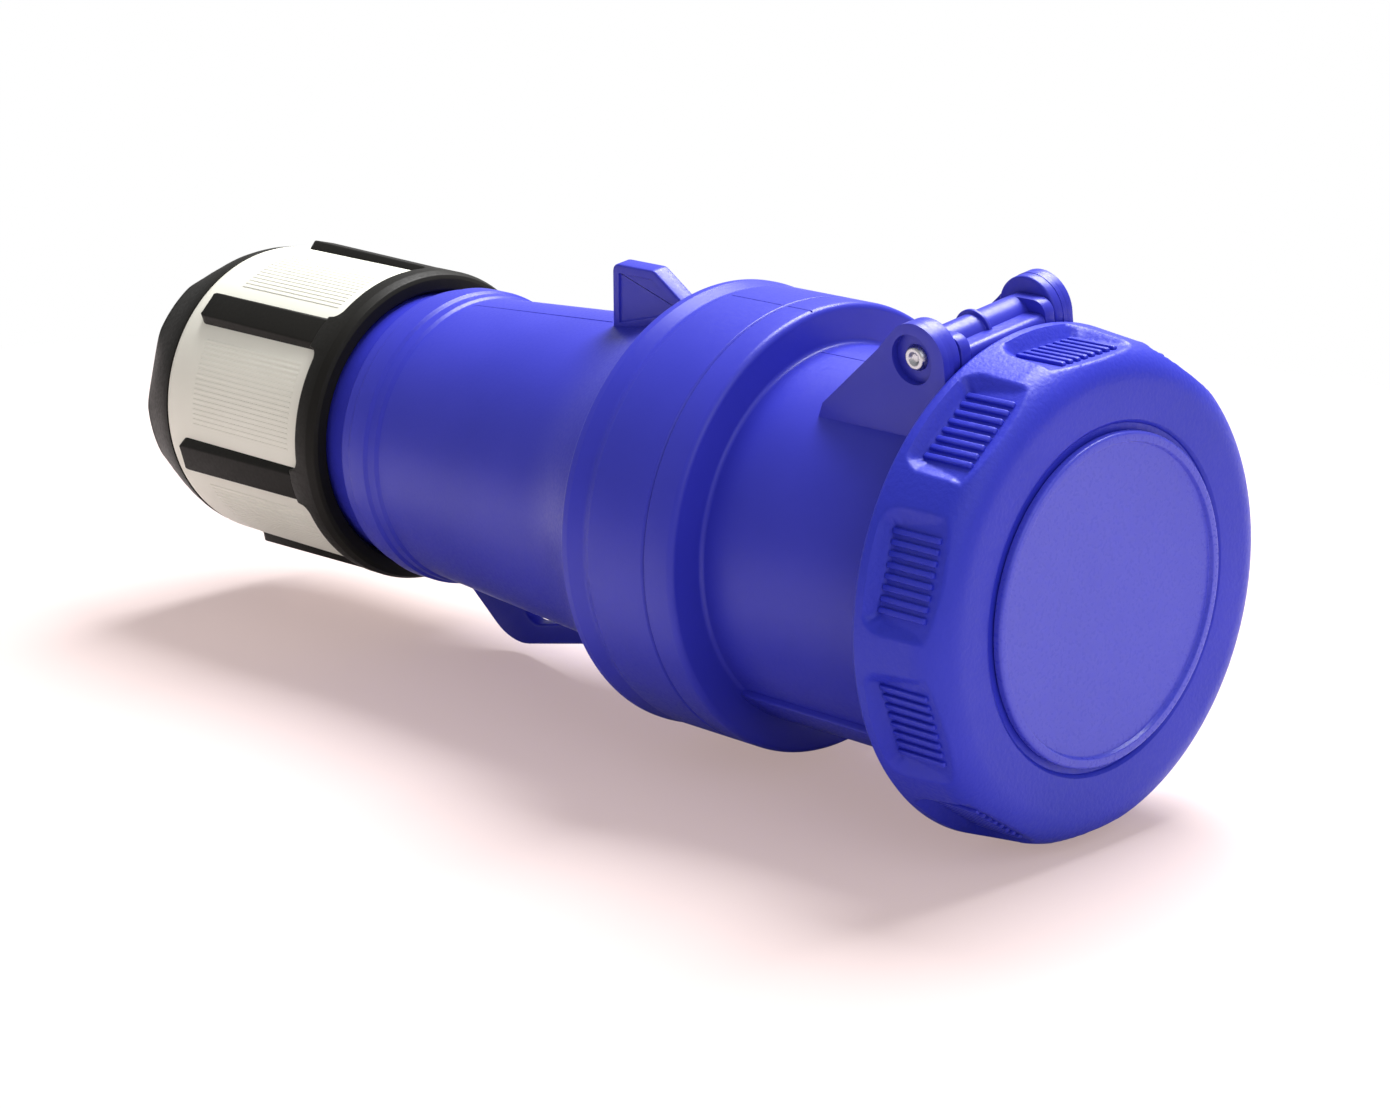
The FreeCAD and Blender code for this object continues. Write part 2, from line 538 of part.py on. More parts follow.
# Rear housing: neck, collar, tapering body, hollow flare and flange, open inside
rear = new_body("rear_housing")
revolve(rear, "shell_wall", [
    ("dims.neck_back", "dims.neck_bore"),
    ("dims.neck_back", "dims.neck_radius"),
    (COLLAR_BACK, "dims.neck_radius"),
    (COLLAR_BACK, "dims.collar_radius - 0.6"),
    (f"{COLLAR_BACK} + 0.6", "dims.collar_radius", "-0.6"),
    (f"{BODY_BACK} - 0.8", "dims.collar_radius"),
    (BODY_BACK, "dims.body_radius"),
    (BODY_FRONT, "dims.body_front_radius"),
    (FLARE_END, "dims.flare_radius", "dims.flare_hollow"),
    (f"{FLANGE_BACK} - 1.5", "dims.flange_rim - 1.3"),
    (FLANGE_BACK, "dims.flange_rim", "-1.8"),
    (f"{FLANGE_BACK} + 1.5", "dims.flange_rim"),
    (f"{FLANGE_BACK} + 6", "dims.flange_radius - 0.7"),
    (f"{FLANGE_BACK} + 8", "dims.flange_radius"),
    (f"{JOINT} - dims.split_chamfer", "dims.flange_radius"),
    (JOINT, "dims.flange_radius - dims.split_chamfer"),
    (JOINT, JOINT_BORE),
    (f"{FLANGE_BACK} + 3", JOINT_BORE),
    (f"{FLARE_END} + 1", "dims.flare_radius - dims.wall"),
    (BODY_FRONT, "dims.body_front_radius - dims.wall", "-dims.flare_hollow"),
    (f"{BODY_BACK} + 3", "dims.body_radius - dims.wall"),
    (BODY_BACK, "dims.neck_bore"),
])

# Rear housing: hanging loop underneath, closed by a bar that rises into the flare
LOOP_BACK = f"({COLLAR_BACK} + 0.5)"
LOOP_INSIDE = f"({LOOP_BACK} + dims.loop_slant + dims.loop_round + 3)"
BAR_TOP = "(-dims.loop_low + dims.loop_bar)"
LOOP_END = f"({BODY_FRONT} + dims.loop_reach)"
loop = new_sketch(rear, "loop_outline", "XZ_Plane")
draw_outline(loop, [
    (LOOP_BACK, "-dims.body_radius + 1.2"),
    (LOOP_BACK, "-dims.loop_back_drop"),
    (f"{LOOP_BACK} + dims.loop_slant", "-dims.loop_low + 2.6"),
    (f"{LOOP_BACK} + dims.loop_slant + dims.loop_round + 3", "-dims.loop_low", "14"),
    (LOOP_END, f"-dims.loop_low + ({LOOP_END} - {LOOP_INSIDE}) * dims.loop_rise"),
    (LOOP_END, "-dims.body_front_radius"),
    (f"{BODY_FRONT} - 7", "-dims.body_front_radius + 1.5"),
    (f"{LOOP_INSIDE} + 4", BAR_TOP),
    (LOOP_INSIDE, f"{BAR_TOP} + 3.3", "-3.8"),
    (LOOP_INSIDE, "-dims.body_radius + 1.2"),
])
extrude(rear, "loop", loop, "dims.loop_thickness", side="Symmetric")

# Rear housing: tab on top, in front of the flange
TAB_BACK = f"({BODY_FRONT} + dims.tab_setback)"
TAB_TOP = f"({TAB_BACK} + dims.tab_lean)"
TAB_END = f"({TAB_TOP} + dims.tab_top)"
tab = new_sketch(rear, "tab_outline", "XZ_Plane")
draw_outline(tab, [
    (TAB_BACK, "dims.body_front_radius - 1.5"),
    (TAB_TOP, "dims.tab_height - dims.tab_round"),
    (f"{TAB_TOP} + dims.tab_round", "dims.tab_height", "-dims.tab_round - 0.2"),
    (TAB_END, "dims.tab_height"),
    (f"{TAB_END} + dims.tab_round", "dims.tab_height - 0.9", "-dims.tab_round * 1.5"),
    (f"{TAB_END} + dims.tab_slant", "dims.tab_height - dims.tab_drop"),
    (f"{TAB_END} + dims.tab_slant", "dims.flare_radius - 2"),
])
extrude(rear, "tab", tab, "dims.tab_thickness", side="Symmetric")
for side, lift, back in (("near", "dims.tab_thickness / 2", False), ("far", "-dims.tab_thickness / 2", True)):
    recess = new_sketch(rear, f"tab_recess_{side}", "XZ_Plane", lift)
    draw_outline(recess, [
        (f"{TAB_BACK} + dims.tab_border + 1.2", "dims.body_front_radius + 3"),
        (f"{TAB_TOP} + dims.tab_border", "dims.tab_height - dims.tab_border"),
        (f"{TAB_END} - 1", "dims.tab_height - dims.tab_border"),
        (f"{TAB_END} + dims.tab_border + 1.5", "dims.tab_height - dims.tab_border - 3.4"),
        (f"{TAB_END} - 1", "dims.body_front_radius + 4.8"),
    ])
    extrude(rear, f"tab_side_{side}", recess, "dims.tab_recess", cut=True, back=back)

# Ring seal between the two housings
GROOVE_FLOOR = f"({JOINT_BORE} - 2 * dims.joint_seal_wire)"
housing_seal = doc.addObject("Part::Torus", "housing_seal")
housing_seal.setExpression("Radius1", f"({GROOVE_FLOOR} + {JOINT_BORE}) / 2")
housing_seal.setExpression("Radius2", f"({JOINT_BORE} - {GROOVE_FLOOR}) / 2")
housing_seal.Placement = FreeCAD.Placement(FreeCAD.Vector(), FreeCAD.Rotation(FreeCAD.Vector(0, 1, 0), 90))
housing_seal.setExpression("Placement.Base.x", f"{JOINT} - dims.spigot_length / 2")

# Front housing: spigot, flange, floor and barrel
front = new_body("front_housing")
GROOVE_BACK = f"({JOINT} - dims.spigot_length / 2 - dims.joint_seal / 2)"
revolve(front, "barrel_wall", [
    (SPIGOT_BACK, SPIGOT_BORE),
    (SPIGOT_BACK, SPIGOT_RADIUS),
    (GROOVE_BACK, SPIGOT_RADIUS),
    (GROOVE_BACK, GROOVE_FLOOR),
    (f"{GROOVE_BACK} + dims.joint_seal", GROOVE_FLOOR),
    (f"{GROOVE_BACK} + dims.joint_seal", SPIGOT_RADIUS),
    (JOINT, SPIGOT_RADIUS),
    (JOINT, "dims.flange_radius - dims.split_chamfer"),
    (f"{JOINT} + dims.split_chamfer", "dims.flange_radius"),
    (f"{FLANGE_FACE} - dims.flange_round", "dims.flange_radius"),
    (FLANGE_FACE, "dims.flange_radius - dims.flange_round", "-dims.flange_round"),
    (FLANGE_FACE, "dims.barrel_radius + 1"),
    (f"{FLANGE_FACE} + 1", "dims.barrel_radius", "1"),
    (RIM, "dims.barrel_radius"),
    (RIM, BARREL_BORE),
    (FLOOR_FRONT, BARREL_BORE),
    (FLOOR_FRONT, "dims.carrier_radius + dims.seat_gap"),
    (FLOOR_BACK, "dims.carrier_radius + dims.seat_gap"),
    (FLOOR_BACK, SPIGOT_BORE),
])

# Front housing: key ridge round the bottom with the key groove inside
ridge = new_sketch(front, "key_ridge_section", "YZ_Plane", f"{FLANGE_FACE} - 0.5")
draw_outline(ridge, annular_sector(
    "(dims.barrel_radius - 0.5)", "(dims.barrel_radius + dims.key_height)",
    "(180 - dims.key_angle / 2)", "(180 + dims.key_angle / 2)"))
extrude(front, "key_ridge", ridge, "dims.barrel_length + 0.5")
groove = new_sketch(front, "key_groove_section", "YZ_Plane", RIM)
draw_outline(groove, annular_sector(
    f"({BARREL_BORE} - 0.5)", f"({BARREL_BORE} + dims.key_groove)",
    "(180 - dims.key_groove_angle / 2)", "(180 + dims.key_groove_angle / 2)"))
extrude(front, "key_groove", groove, f"{RIM} - {FLOOR_FRONT}", cut=True)

# Front housing: two bayonet lugs that hold the ring
for name, start in (("lug", "dims.lug_turn"), ("second_lug", "dims.second_lug_turn")):
    lug = new_sketch(front, f"{name}_section", "YZ_Plane", LUG_BACK)
    draw_outline(lug, annular_sector(
        "(dims.barrel_radius - 0.5)", "(dims.barrel_radius + dims.lug_height)",
        f"({start})", f"({start} + dims.lug_angle)"))
    extrude(front, name, lug, "dims.lug_length")

# Front housing: two hinge ears with round bosses for the pin
BOSS_X = f"({HINGE_X} + dims.boss_lead)"
ear = new_sketch(front, "ear_outline", "XZ_Plane", "dims.ear_outside")
draw_outline(ear, [
    (f"{HINGE_X} - dims.ear_foot", "dims.ear_low"),
    (f"{HINGE_X} - dims.ear_foot + 2", "dims.barrel_radius - 2"),
    (f"{HINGE_X} - dims.ear_knee", "dims.ear_knee_height"),
    (f"{BOSS_X} - dims.boss_radius * 0.5", "dims.hinge_height + dims.boss_radius * 0.86"),
    (f"{BOSS_X} + dims.boss_radius - 0.2", "dims.hinge_height"),
    (f"{BOSS_X} + dims.boss_radius - 0.2", "dims.ear_low"),
])
ear_pad = extrude(front, "ear", ear, "dims.ear_web", back=True)
boss = new_sketch(front, "boss_outline", "XZ_Plane", "dims.ear_outside")
draw_circle(boss, BOSS_X, "dims.hinge_height", "dims.boss_radius")
boss_pad = extrude(front, "boss", boss, "dims.ear_thickness", back=True)
mirror(front, "ears", [ear_pad, boss_pad])
pin_hole = new_sketch(front, "pin_hole_outline", "XZ_Plane")
draw_circle(pin_hole, HINGE_X, "dims.hinge_height", "dims.pin_radius + dims.pin_gap")
extrude(front, "pin_hole", pin_hole, "dims.ear_outside * 2 + 2", cut=True, side="Symmetric")
sink = new_sketch(front, "sink_outline", "XZ_Plane", "dims.ear_outside")
draw_circle(sink, HINGE_X, "dims.hinge_height", "dims.boss_sink")
sink_cut = extrude(front, "sink", sink, "dims.sink_depth", cut=True)
mirror(front, "sinks", [sink_cut])

# Front housing: blind holes in the floor for the carrier screws
screw_holes = new_sketch(front, "screw_hole_outline", "YZ_Plane", FLOOR_BACK)
for angle in SCREW_ANGLES:
    draw_circle(screw_holes, f"dims.screw_circle * sin({angle})", f"dims.screw_circle * cos({angle})",
                "dims.carrier_screw + dims.bond_gap")
extrude(front, "screw_hole", screw_holes, "dims.screw_bite + 1", cut=True, back=True)

# Contact carrier: flanged plug with chambers for the contacts and holes for the pins
carrier = new_body("contact_carrier")
revolve(carrier, "carrier", [
    (CARRIER_BACK, "0"),
    (CARRIER_BACK, "dims.carrier_flange_radius"),
    (f"{CARRIER_BACK} + dims.carrier_flange", "dims.carrier_flange_radius"),
    (f"{CARRIER_BACK} + dims.carrier_flange", "dims.carrier_radius"),
    (f"{CARRIER_FACE} - 0.8", "dims.carrier_radius"),
    (CARRIER_FACE, "dims.carrier_radius - 0.8"),
    (CARRIER_FACE, "0"),
])
SLEEVE_FRONT = f"({CARRIER_FACE} - dims.carrier_face - dims.seat_gap)"
TERMINAL_BACK = f"({BACK_PLATE_FRONT} - dims.terminal_length)"


def contact_place(circle, angle, outwards="0"):
    """Place of a contact across and up, moved outwards from the coupler's axis."""
    return f"({circle} + {outwards}) * sin({angle})", f"({circle} + {outwards}) * cos({angle})"


def contact_holes(body, name, lift, radius, depth, back=True):
    """One hole for each contact; PIN in the radius stands for its pin's radius."""
    holes = new_sketch(body, name + "_outline", "YZ_Plane", lift)
    for _, pin, circle, angle, _ in CONTACTS:
        draw_circle(holes, *contact_place(circle, angle), radius.replace("PIN", pin))
    return extrude(body, name, holes, depth, cut=True, back=back)


SLEEVE = "(PIN + dims.pin_slide + dims.sleeve_wall)"
SLEEVE_COLLAR = f"({SLEEVE} + dims.collar_step)"
TERMINAL = f"({SLEEVE} + dims.terminal_extra)"
contact_holes(carrier, "collar_seats", CARRIER_BACK, f"{SLEEVE_COLLAR} + dims.seat_gap", "dims.contact_seat")
contact_holes(carrier, "chambers", CARRIER_BACK, f"{SLEEVE} + dims.clip_wall + dims.seat_gap",
              f"{CARRIER_FACE} - dims.carrier_face - {CARRIER_BACK}")
contact_holes(carrier, "pin_holes", CARRIER_FACE, "PIN + 0.6", "dims.carrier_face + 1", back=False)


def screw_passages(body, name, lift, depth):
    """Clearance holes for the carrier screws."""
    holes = new_sketch(body, name + "_outline", "YZ_Plane", lift)
    for angle in SCREW_ANGLES:
        draw_circle(holes, f"dims.screw_circle * sin({angle})", f"dims.screw_circle * cos({angle})",
                    "dims.carrier_screw + dims.seat_gap")
    extrude(body, name, holes, depth, cut=True, back=True)


screw_passages(carrier, "carrier_passages", CARRIER_BACK, "dims.carrier_flange")

# Retaining plate behind the carrier
plate = new_body("retaining_plate")
revolve(plate, "plate", [
    (BACK_PLATE_BACK, "0"),
    (BACK_PLATE_BACK, "dims.carrier_flange_radius - 0.6"),
    (f"{BACK_PLATE_BACK} + 0.6", "dims.carrier_flange_radius"),
    (BACK_PLATE_FRONT, "dims.carrier_flange_radius"),
    (BACK_PLATE_FRONT, "0"),
])
contact_holes(plate, "terminal_holes", BACK_PLATE_BACK, f"{TERMINAL} + dims.seat_gap", "dims.back_plate")
screw_passages(plate, "plate_passages", BACK_PLATE_BACK, "dims.back_plate")

# Contacts: slit sleeve in front, collar between carrier and plate, terminal behind
clamp_screws, clips = [], []
for name, pin, circle, angle, screw_count in CONTACTS:
    sleeve, step, terminal = (text.replace("PIN", pin) for text in (SLEEVE, SLEEVE_COLLAR, TERMINAL))
    contact = new_body(f"contact_{name}")
    collar_front = f"({CARRIER_BACK} + dims.contact_seat - dims.seat_gap)"
    wire_bore = f"({terminal} - dims.terminal_wall)"
    socket_floor = f"({CARRIER_FACE} - dims.socket_depth)"
    revolve(contact, f"{name}_turning", [
        (f"{TERMINAL_BACK} + dims.wire_depth", "0"),
        (f"{TERMINAL_BACK} + dims.wire_depth", wire_bore),
        (TERMINAL_BACK, wire_bore),
        (TERMINAL_BACK, f"{terminal} - 0.5"),
        (f"{TERMINAL_BACK} + 0.5", terminal),
        (BACK_PLATE_FRONT, terminal),
        (BACK_PLATE_FRONT, step),
        (collar_front, step),
        (collar_front, sleeve),
        (SLEEVE_FRONT, sleeve),
        (SLEEVE_FRONT, f"{pin} + dims.pin_slide"),
        (socket_floor, f"{pin} + dims.pin_slide"),
        (socket_floor, "0"),
    ])
    for plane in ("XY_Plane", "XZ_Plane"):
        slit = new_sketch(contact, f"{name}_slit_{plane[:2]}", plane)
        draw_outline(slit, [
            (f"{socket_floor} + 4", f"-{sleeve} - 1"),
            (f"{SLEEVE_FRONT} + 1", f"-{sleeve} - 1"),
            (f"{SLEEVE_FRONT} + 1", f"{sleeve} + 1"),
            (f"{socket_floor} + 4", f"{sleeve} + 1"),
        ])
        extrude(contact, f"{name}_slit_cut_{plane[:2]}", slit, "dims.sleeve_slit", cut=True, side="Symmetric")
    taps = new_sketch(contact, f"{name}_screw_holes", "XY_Plane")
    places = [f"({TERMINAL_BACK} + dims.clamp_screw_end + {number} * dims.clamp_screw_pitch)"
              for number in range(screw_count)]
    for place in places:
        draw_circle(taps, place, "0", "dims.clamp_screw + dims.bond_gap")
    extrude(contact, f"{name}_screw_cut", taps, f"{terminal} + 1", cut=True, back=True)
    across, up = contact_place(circle, angle)
    contact.Placement = FreeCAD.Placement(FreeCAD.Vector(), FreeCAD.Rotation(FreeCAD.Vector(-1, 0, 0), angle))
    contact.setExpression("Placement.Base.y", across)
    contact.setExpression("Placement.Base.z", up)

    for place in places:
        screw = doc.addObject("Part::Cylinder", f"{name}_clamp_screw")
        screw.setExpression("Radius", "dims.clamp_screw")
        screw.setExpression("Height", "dims.clamp_screw_length")
        socket = doc.addObject("Part::Prism", f"{name}_screw_socket")
        socket.setExpression("Circumradius", "dims.clamp_screw * 0.55")
        socket.setExpression("Height", "dims.clamp_screw_length / 2")
        screw_base = f"{wire_bore} - dims.clamp_screw_length + dims.terminal_wall + 1"
        for solid, lift in ((screw, "0"), (socket, "dims.clamp_screw_length / 2")):
            solid.Placement = FreeCAD.Placement(
                FreeCAD.Vector(), FreeCAD.Rotation(FreeCAD.Vector(-1, 0, 0), angle))
            solid.setExpression("Placement.Base.x", place)
            across, up = contact_place(circle, angle, f"{screw_base} + {lift}")
            solid.setExpression("Placement.Base.y", across)
            solid.setExpression("Placement.Base.z", up)
        clamp_screw = doc.addObject("Part::Cut", f"{name}_screw")
        clamp_screw.Base, clamp_screw.Tool = screw, socket
        clamp_screws.append(clamp_screw)

    tubes = []
    for part, radius in (("outside", f"{sleeve} + dims.clip_wall"), ("inside", f"{sleeve} + dims.bond_gap")):
        tube = doc.addObject("Part::Cylinder", f"{name}_clip_{part}")
        tube.setExpression("Radius", radius)
        tube.setExpression("Height", "dims.clip_length")
        tube.Placement = FreeCAD.Placement(FreeCAD.Vector(), FreeCAD.Rotation(FreeCAD.Vector(0, 1, 0), 90))
        across, up = contact_place(circle, angle)
        tube.setExpression("Placement.Base.x", f"{SLEEVE_FRONT} - dims.clip_length * 2")
        tube.setExpression("Placement.Base.y", across)
        tube.setExpression("Placement.Base.z", up)
        tubes.append(tube)
    clip = doc.addObject("Part::Cut", f"{name}_clip")
    clip.Base, clip.Tool = tubes
    clips.append(clip)

terminal_screws = doc.addObject("Part::Compound", "terminal_screws")
terminal_screws.Links = clamp_screws
contact_clips = doc.addObject("Part::Compound", "contact_clips")
contact_clips.Links = clips

# Carrier screws through plate and carrier into the floor of the barrel
screws = []
SHANK = "(dims.back_plate + dims.seat_gap + dims.carrier_flange + dims.seat_gap + dims.screw_bite)"
for angle in SCREW_ANGLES:
    across, up = contact_place("dims.screw_circle", angle)
    solids = []
    for part, radius, start, length in (
            ("head", "dims.carrier_screw_head", f"{BACK_PLATE_BACK} - 2.2", "2.2"),
            ("shank", "dims.carrier_screw", f"{BACK_PLATE_BACK} - 1", f"{SHANK} + 1")):
        solid = doc.addObject("Part::Cylinder", f"screw_{part}")
        solid.setExpression("Radius", radius)
        solid.setExpression("Height", length)
        solid.Placement = FreeCAD.Placement(FreeCAD.Vector(), FreeCAD.Rotation(FreeCAD.Vector(0, 1, 0), 90))
        solid.setExpression("Placement.Base.x", start)
        solid.setExpression("Placement.Base.y", across)
        solid.setExpression("Placement.Base.z", up)
        solids.append(solid)
    screw = doc.addObject("Part::MultiFuse", "carrier_screw")
    screw.Shapes = solids
    notch = doc.addObject("Part::Box", "screw_slot")
    for side, text in (("Length", "2"), ("Width", "dims.carrier_screw_head * 2 + 1"), ("Height", "0.9")):
        notch.setExpression(side, text)
    notch.setExpression("Placement.Base.x", f"{BACK_PLATE_BACK} - 3.2")
    notch.setExpression("Placement.Base.y", f"{across} - dims.carrier_screw_head - 0.5")
    notch.setExpression("Placement.Base.z", f"{up} - 0.45")
    slotted = doc.addObject("Part::Cut", "slotted_screw")
    slotted.Base, slotted.Tool = screw, notch
    screws.append(slotted)
carrier_screws = doc.addObject("Part::Compound", "carrier_screws")
carrier_screws.Links = screws

# Bayonet ring: profile, hooks behind the lugs, ten grip pads
ring = new_body("bayonet_ring")
revolve(ring, "ring", [
    (RING_BACK, "dims.ring_bore"),
    (RING_BACK, "dims.ring_radius - dims.ring_edge"),
    (f"{RING_BACK} + dims.ring_edge", "dims.ring_radius", "-dims.ring_edge"),
    (f"{RING_FRONT} - dims.ring_round", "dims.ring_front_radius"),
    (RING_FRONT, "dims.ring_front_radius - dims.ring_round", "-dims.ring_round"),
    (f"{RING_FRONT} - 0.4", "dims.disc_radius + dims.disc_groove"),
    (LEDGE_FRONT, "dims.disc_radius + dims.disc_groove"),
    (LEDGE_FRONT, LEDGE_BORE),
    (LEDGE_BACK, LEDGE_BORE),
    (LEDGE_BACK, "dims.ring_bore"),
])
for name, start in (("hook", "dims.lug_turn"), ("second_hook", "dims.second_lug_turn")):
    middle = f"{start} + dims.lug_angle / 2 - dims.lock_turn"
    hook = new_sketch(ring, f"{name}_section", "YZ_Plane", HOOK_BACK)
    draw_outline(hook, annular_sector(
        "(dims.barrel_radius + dims.hook_gap)", "(dims.ring_bore + 0.5)",
        f"({middle} - dims.hook_angle / 2)", f"({middle} + dims.hook_angle / 2)"))
    extrude(ring, name, hook, "dims.hook_length")
PAD_HALF = "(dims.ring_front_radius * sin(dims.pad_angle / 2))"
PAD_START = f"({RING_BACK} + dims.pad_back)"
PAD_STOP = f"({PAD_START} + dims.pad_length + 3)"


def tilted_sketch(name, height):
    """Sketch on the ring that faces outwards at the first grip pad."""
    sketch = new_sketch(ring, name, "XY_Plane")
    sketch.AttachmentOffset = FreeCAD.Placement(FreeCAD.Vector(), FreeCAD.Rotation(FreeCAD.Vector(-1, 0, 0), 1))
    sketch.setExpression("AttachmentOffset.Rotation.Angle", "dims.pad_turn")
    sketch.setExpression("AttachmentOffset.Base.y", f"{height} * sin(dims.pad_turn)")
    sketch.setExpression("AttachmentOffset.Base.z", f"{height} * cos(dims.pad_turn)")
    return sketch


pad = tilted_sketch("pad_outline", "dims.pad_floor")
draw_outline(pad, [
    (f"{PAD_START} + dims.pad_round", f"-{PAD_HALF}", "dims.pad_round"),
    (PAD_STOP, f"-{PAD_HALF}"),
    (PAD_STOP, PAD_HALF),
    (f"{PAD_START} + dims.pad_round", PAD_HALF),
    (PAD_START, f"{PAD_HALF} - dims.pad_round", "dims.pad_round"),
    (PAD_START, f"-{PAD_HALF} + dims.pad_round"),
])
pad_cut = extrude(ring, "pad", pad, "dims.ring_radius - dims.pad_floor + 2", cut=True, back=True)
grips = tilted_sketch("grip_outline", "(dims.pad_floor - 0.3)")
for number in range(int(size("dims.grip_count"))):
    middle = f"({number} - (dims.grip_count - 1) / 2) * dims.grip_pitch"
    low, high = f"{middle} - dims.grip_width / 2", f"{middle} + dims.grip_width / 2"
    draw_outline(grips, [
        (f"{PAD_START} + 2.4", low), (f"{PAD_START} + 2.4 + dims.grip_length", low),
        (f"{PAD_START} + 2.4 + dims.grip_length", high), (f"{PAD_START} + 2.4", high),
    ])
grip_pad = extrude(ring, "grips", grips, "dims.grip_height + 0.3")
spread(ring, "pads", [pad_cut, grip_pad], "dims.pad_count")

# Lid, inner plate: disc with rims for the seal, arm over the barrel, knuckle on the hinge pin
lid = new_body("lid_cap")
SEAL_INSIDE = total("barrel_radius", "-barrel_wall", "-seal_margin")
SEAL_OUTSIDE = total("barrel_radius", "seal_margin")
RIM_BACK = f"({PLATE_BACK} - dims.lid_rim)"
revolve(lid, "inner_plate", [
    (PLATE_BACK, "0"),
    (PLATE_BACK, f"{SEAL_INSIDE} - 3"),
    (RIM_BACK, f"{SEAL_INSIDE} - 2.4"),
    (RIM_BACK, f"{SEAL_INSIDE} - dims.bond_gap"),
    (PLATE_BACK, f"{SEAL_INSIDE} - dims.bond_gap"),
    (PLATE_BACK, f"{SEAL_OUTSIDE} + dims.bond_gap"),
    (RIM_BACK, f"{SEAL_OUTSIDE} + dims.bond_gap"),
    (RIM_BACK, "dims.lid_edge"),
    (PLATE_FRONT, "dims.lid_edge"),
    (PLATE_FRONT, "0"),
])
ARM_BACK = f"({RING_BACK} - dims.turn_gap)"
KNUCKLE_FRONT = f"({HINGE_X} + 1)"
arm = new_sketch(lid, "arm_section", "YZ_Plane", f"{KNUCKLE_FRONT}")
ARM_TURN = f"asin(dims.arm_half_width / {ARM_BELOW})"
draw_outline(arm, annular_sector(ARM_BELOW, ARM_ABOVE, f"(-{ARM_TURN})", f"({ARM_TURN})"))
extrude(lid, "arm", arm, f"{PLATE_BACK} + 1 - {KNUCKLE_FRONT}")
revolve(lid, "arm_relief", [
    (f"{SEAL_BACK} - dims.turn_gap", f"{ARM_BELOW} - 1"),
    (f"{SEAL_BACK} - dims.turn_gap", f"{SEAL_OUTSIDE} + dims.bond_gap"),
    (PLATE_BACK, f"{SEAL_OUTSIDE} + dims.bond_gap"),
    (PLATE_BACK, f"{ARM_BELOW} - 1"),
], cut=True)
web = new_sketch(lid, "web_outline", "XZ_Plane")
draw_outline(web, [
    (KNUCKLE_FRONT, f"{ARM_BELOW} + 0.6"),
    (ARM_BACK, f"{ARM_BELOW} + 0.6"),
    (ARM_BACK, "dims.hinge_height + dims.web_stand - 2"),
    (f"{ARM_BACK} - 2", "dims.hinge_height + dims.web_stand"),
    (KNUCKLE_FRONT, "dims.hinge_height + dims.web_stand"),
])
extrude(lid, "web", web, "dims.arm_half_width * 2", side="Symmetric")
KNUCKLE_HALF = total("ear_outside", "-ear_thickness", "-seat_gap")
knuckle = new_sketch(lid, "knuckle_outline", "XZ_Plane")
draw_circle(knuckle, HINGE_X, "dims.hinge_height", "dims.knuckle_radius")
extrude(lid, "knuckle", knuckle, f"{KNUCKLE_HALF} * 2", side="Symmetric")
collar = new_sketch(lid, "collar_outline", "XZ_Plane", "dims.collar_shift")
draw_circle(collar, HINGE_X, "dims.hinge_height", "dims.knuckle_collar")
extrude(lid, "knuckle_collar", collar, "dims.collar_length", back=True)
cheek = new_sketch(lid, "cheek_outline", "XZ_Plane", KNUCKLE_HALF)
draw_outline(cheek, [
    (HINGE_X, "dims.hinge_height + dims.knuckle_radius"),
    (HINGE_X, "dims.hinge_height - dims.knuckle_radius", "dims.knuckle_radius * 1.0001"),
    (KNUCKLE_FRONT, f"{ARM_BELOW} + 0.6"),
    (ARM_BACK, f"{ARM_BELOW} + 0.6"),
    (ARM_BACK, "dims.hinge_height + dims.knuckle_radius - dims.cheek_round"),
    (f"{ARM_BACK} - dims.cheek_round", "dims.hinge_height + dims.knuckle_radius", "dims.cheek_round"),
])
cheek_pad = extrude(lid, "cheek", cheek, "dims.cheek_length", back=True)
mirror(lid, "cheeks", [cheek_pad])
bore = new_sketch(lid, "knuckle_bore_outline", "XZ_Plane")
draw_circle(bore, HINGE_X, "dims.hinge_height", "dims.pin_radius + dims.pin_gap")
extrude(lid, "knuckle_bore", bore, "dims.ear_outside * 2", cut=True, side="Symmetric")
room = new_sketch(lid, "spring_room_outline", "XZ_Plane")
draw_circle(room, HINGE_X, "dims.hinge_height", "dims.spring_room")
extrude(lid, "spring_room", room, "dims.spring_length", cut=True, side="Symmetric")

# Lid, outer plate: round plate with a raised rim; its boss holds the ring against the inner plate
disc = new_body("lid_disc")
revolve(disc, "disc", [
    (PLATE_FRONT, "0"),
    (PLATE_FRONT, f"{LEDGE_BORE} - dims.seat_gap"),
    (DISC_BACK, f"{LEDGE_BORE} - dims.seat_gap"),
    (DISC_BACK, "dims.disc_radius"),
    (f"{DISC_FACE} - 0.8", "dims.disc_radius"),
    (DISC_FACE, "dims.disc_radius - 0.8", "-0.8"),
    (DISC_FACE, "dims.disc_radius - dims.disc_rim + 0.6"),
    (f"{DISC_FACE} - dims.disc_sink", "dims.disc_radius - dims.disc_rim"),
    (f"{DISC_FACE} - dims.disc_sink", "dims.disc_radius - dims.disc_rim - 2"),
    (f"{DISC_FACE} - dims.disc_sink + 0.4", "dims.disc_radius - dims.disc_rim - 2.6"),
    (f"{DISC_FACE} - dims.disc_sink + 0.4", "0"),
])

# Flat seal of the lid, against the rim of the barrel
lid_gasket = new_body("lid_seal")
revolve(lid_gasket, "gasket", [
    (SEAL_BACK, SEAL_INSIDE), (SEAL_BACK, SEAL_OUTSIDE), (PLATE_BACK, SEAL_OUTSIDE), (PLATE_BACK, SEAL_INSIDE),
])

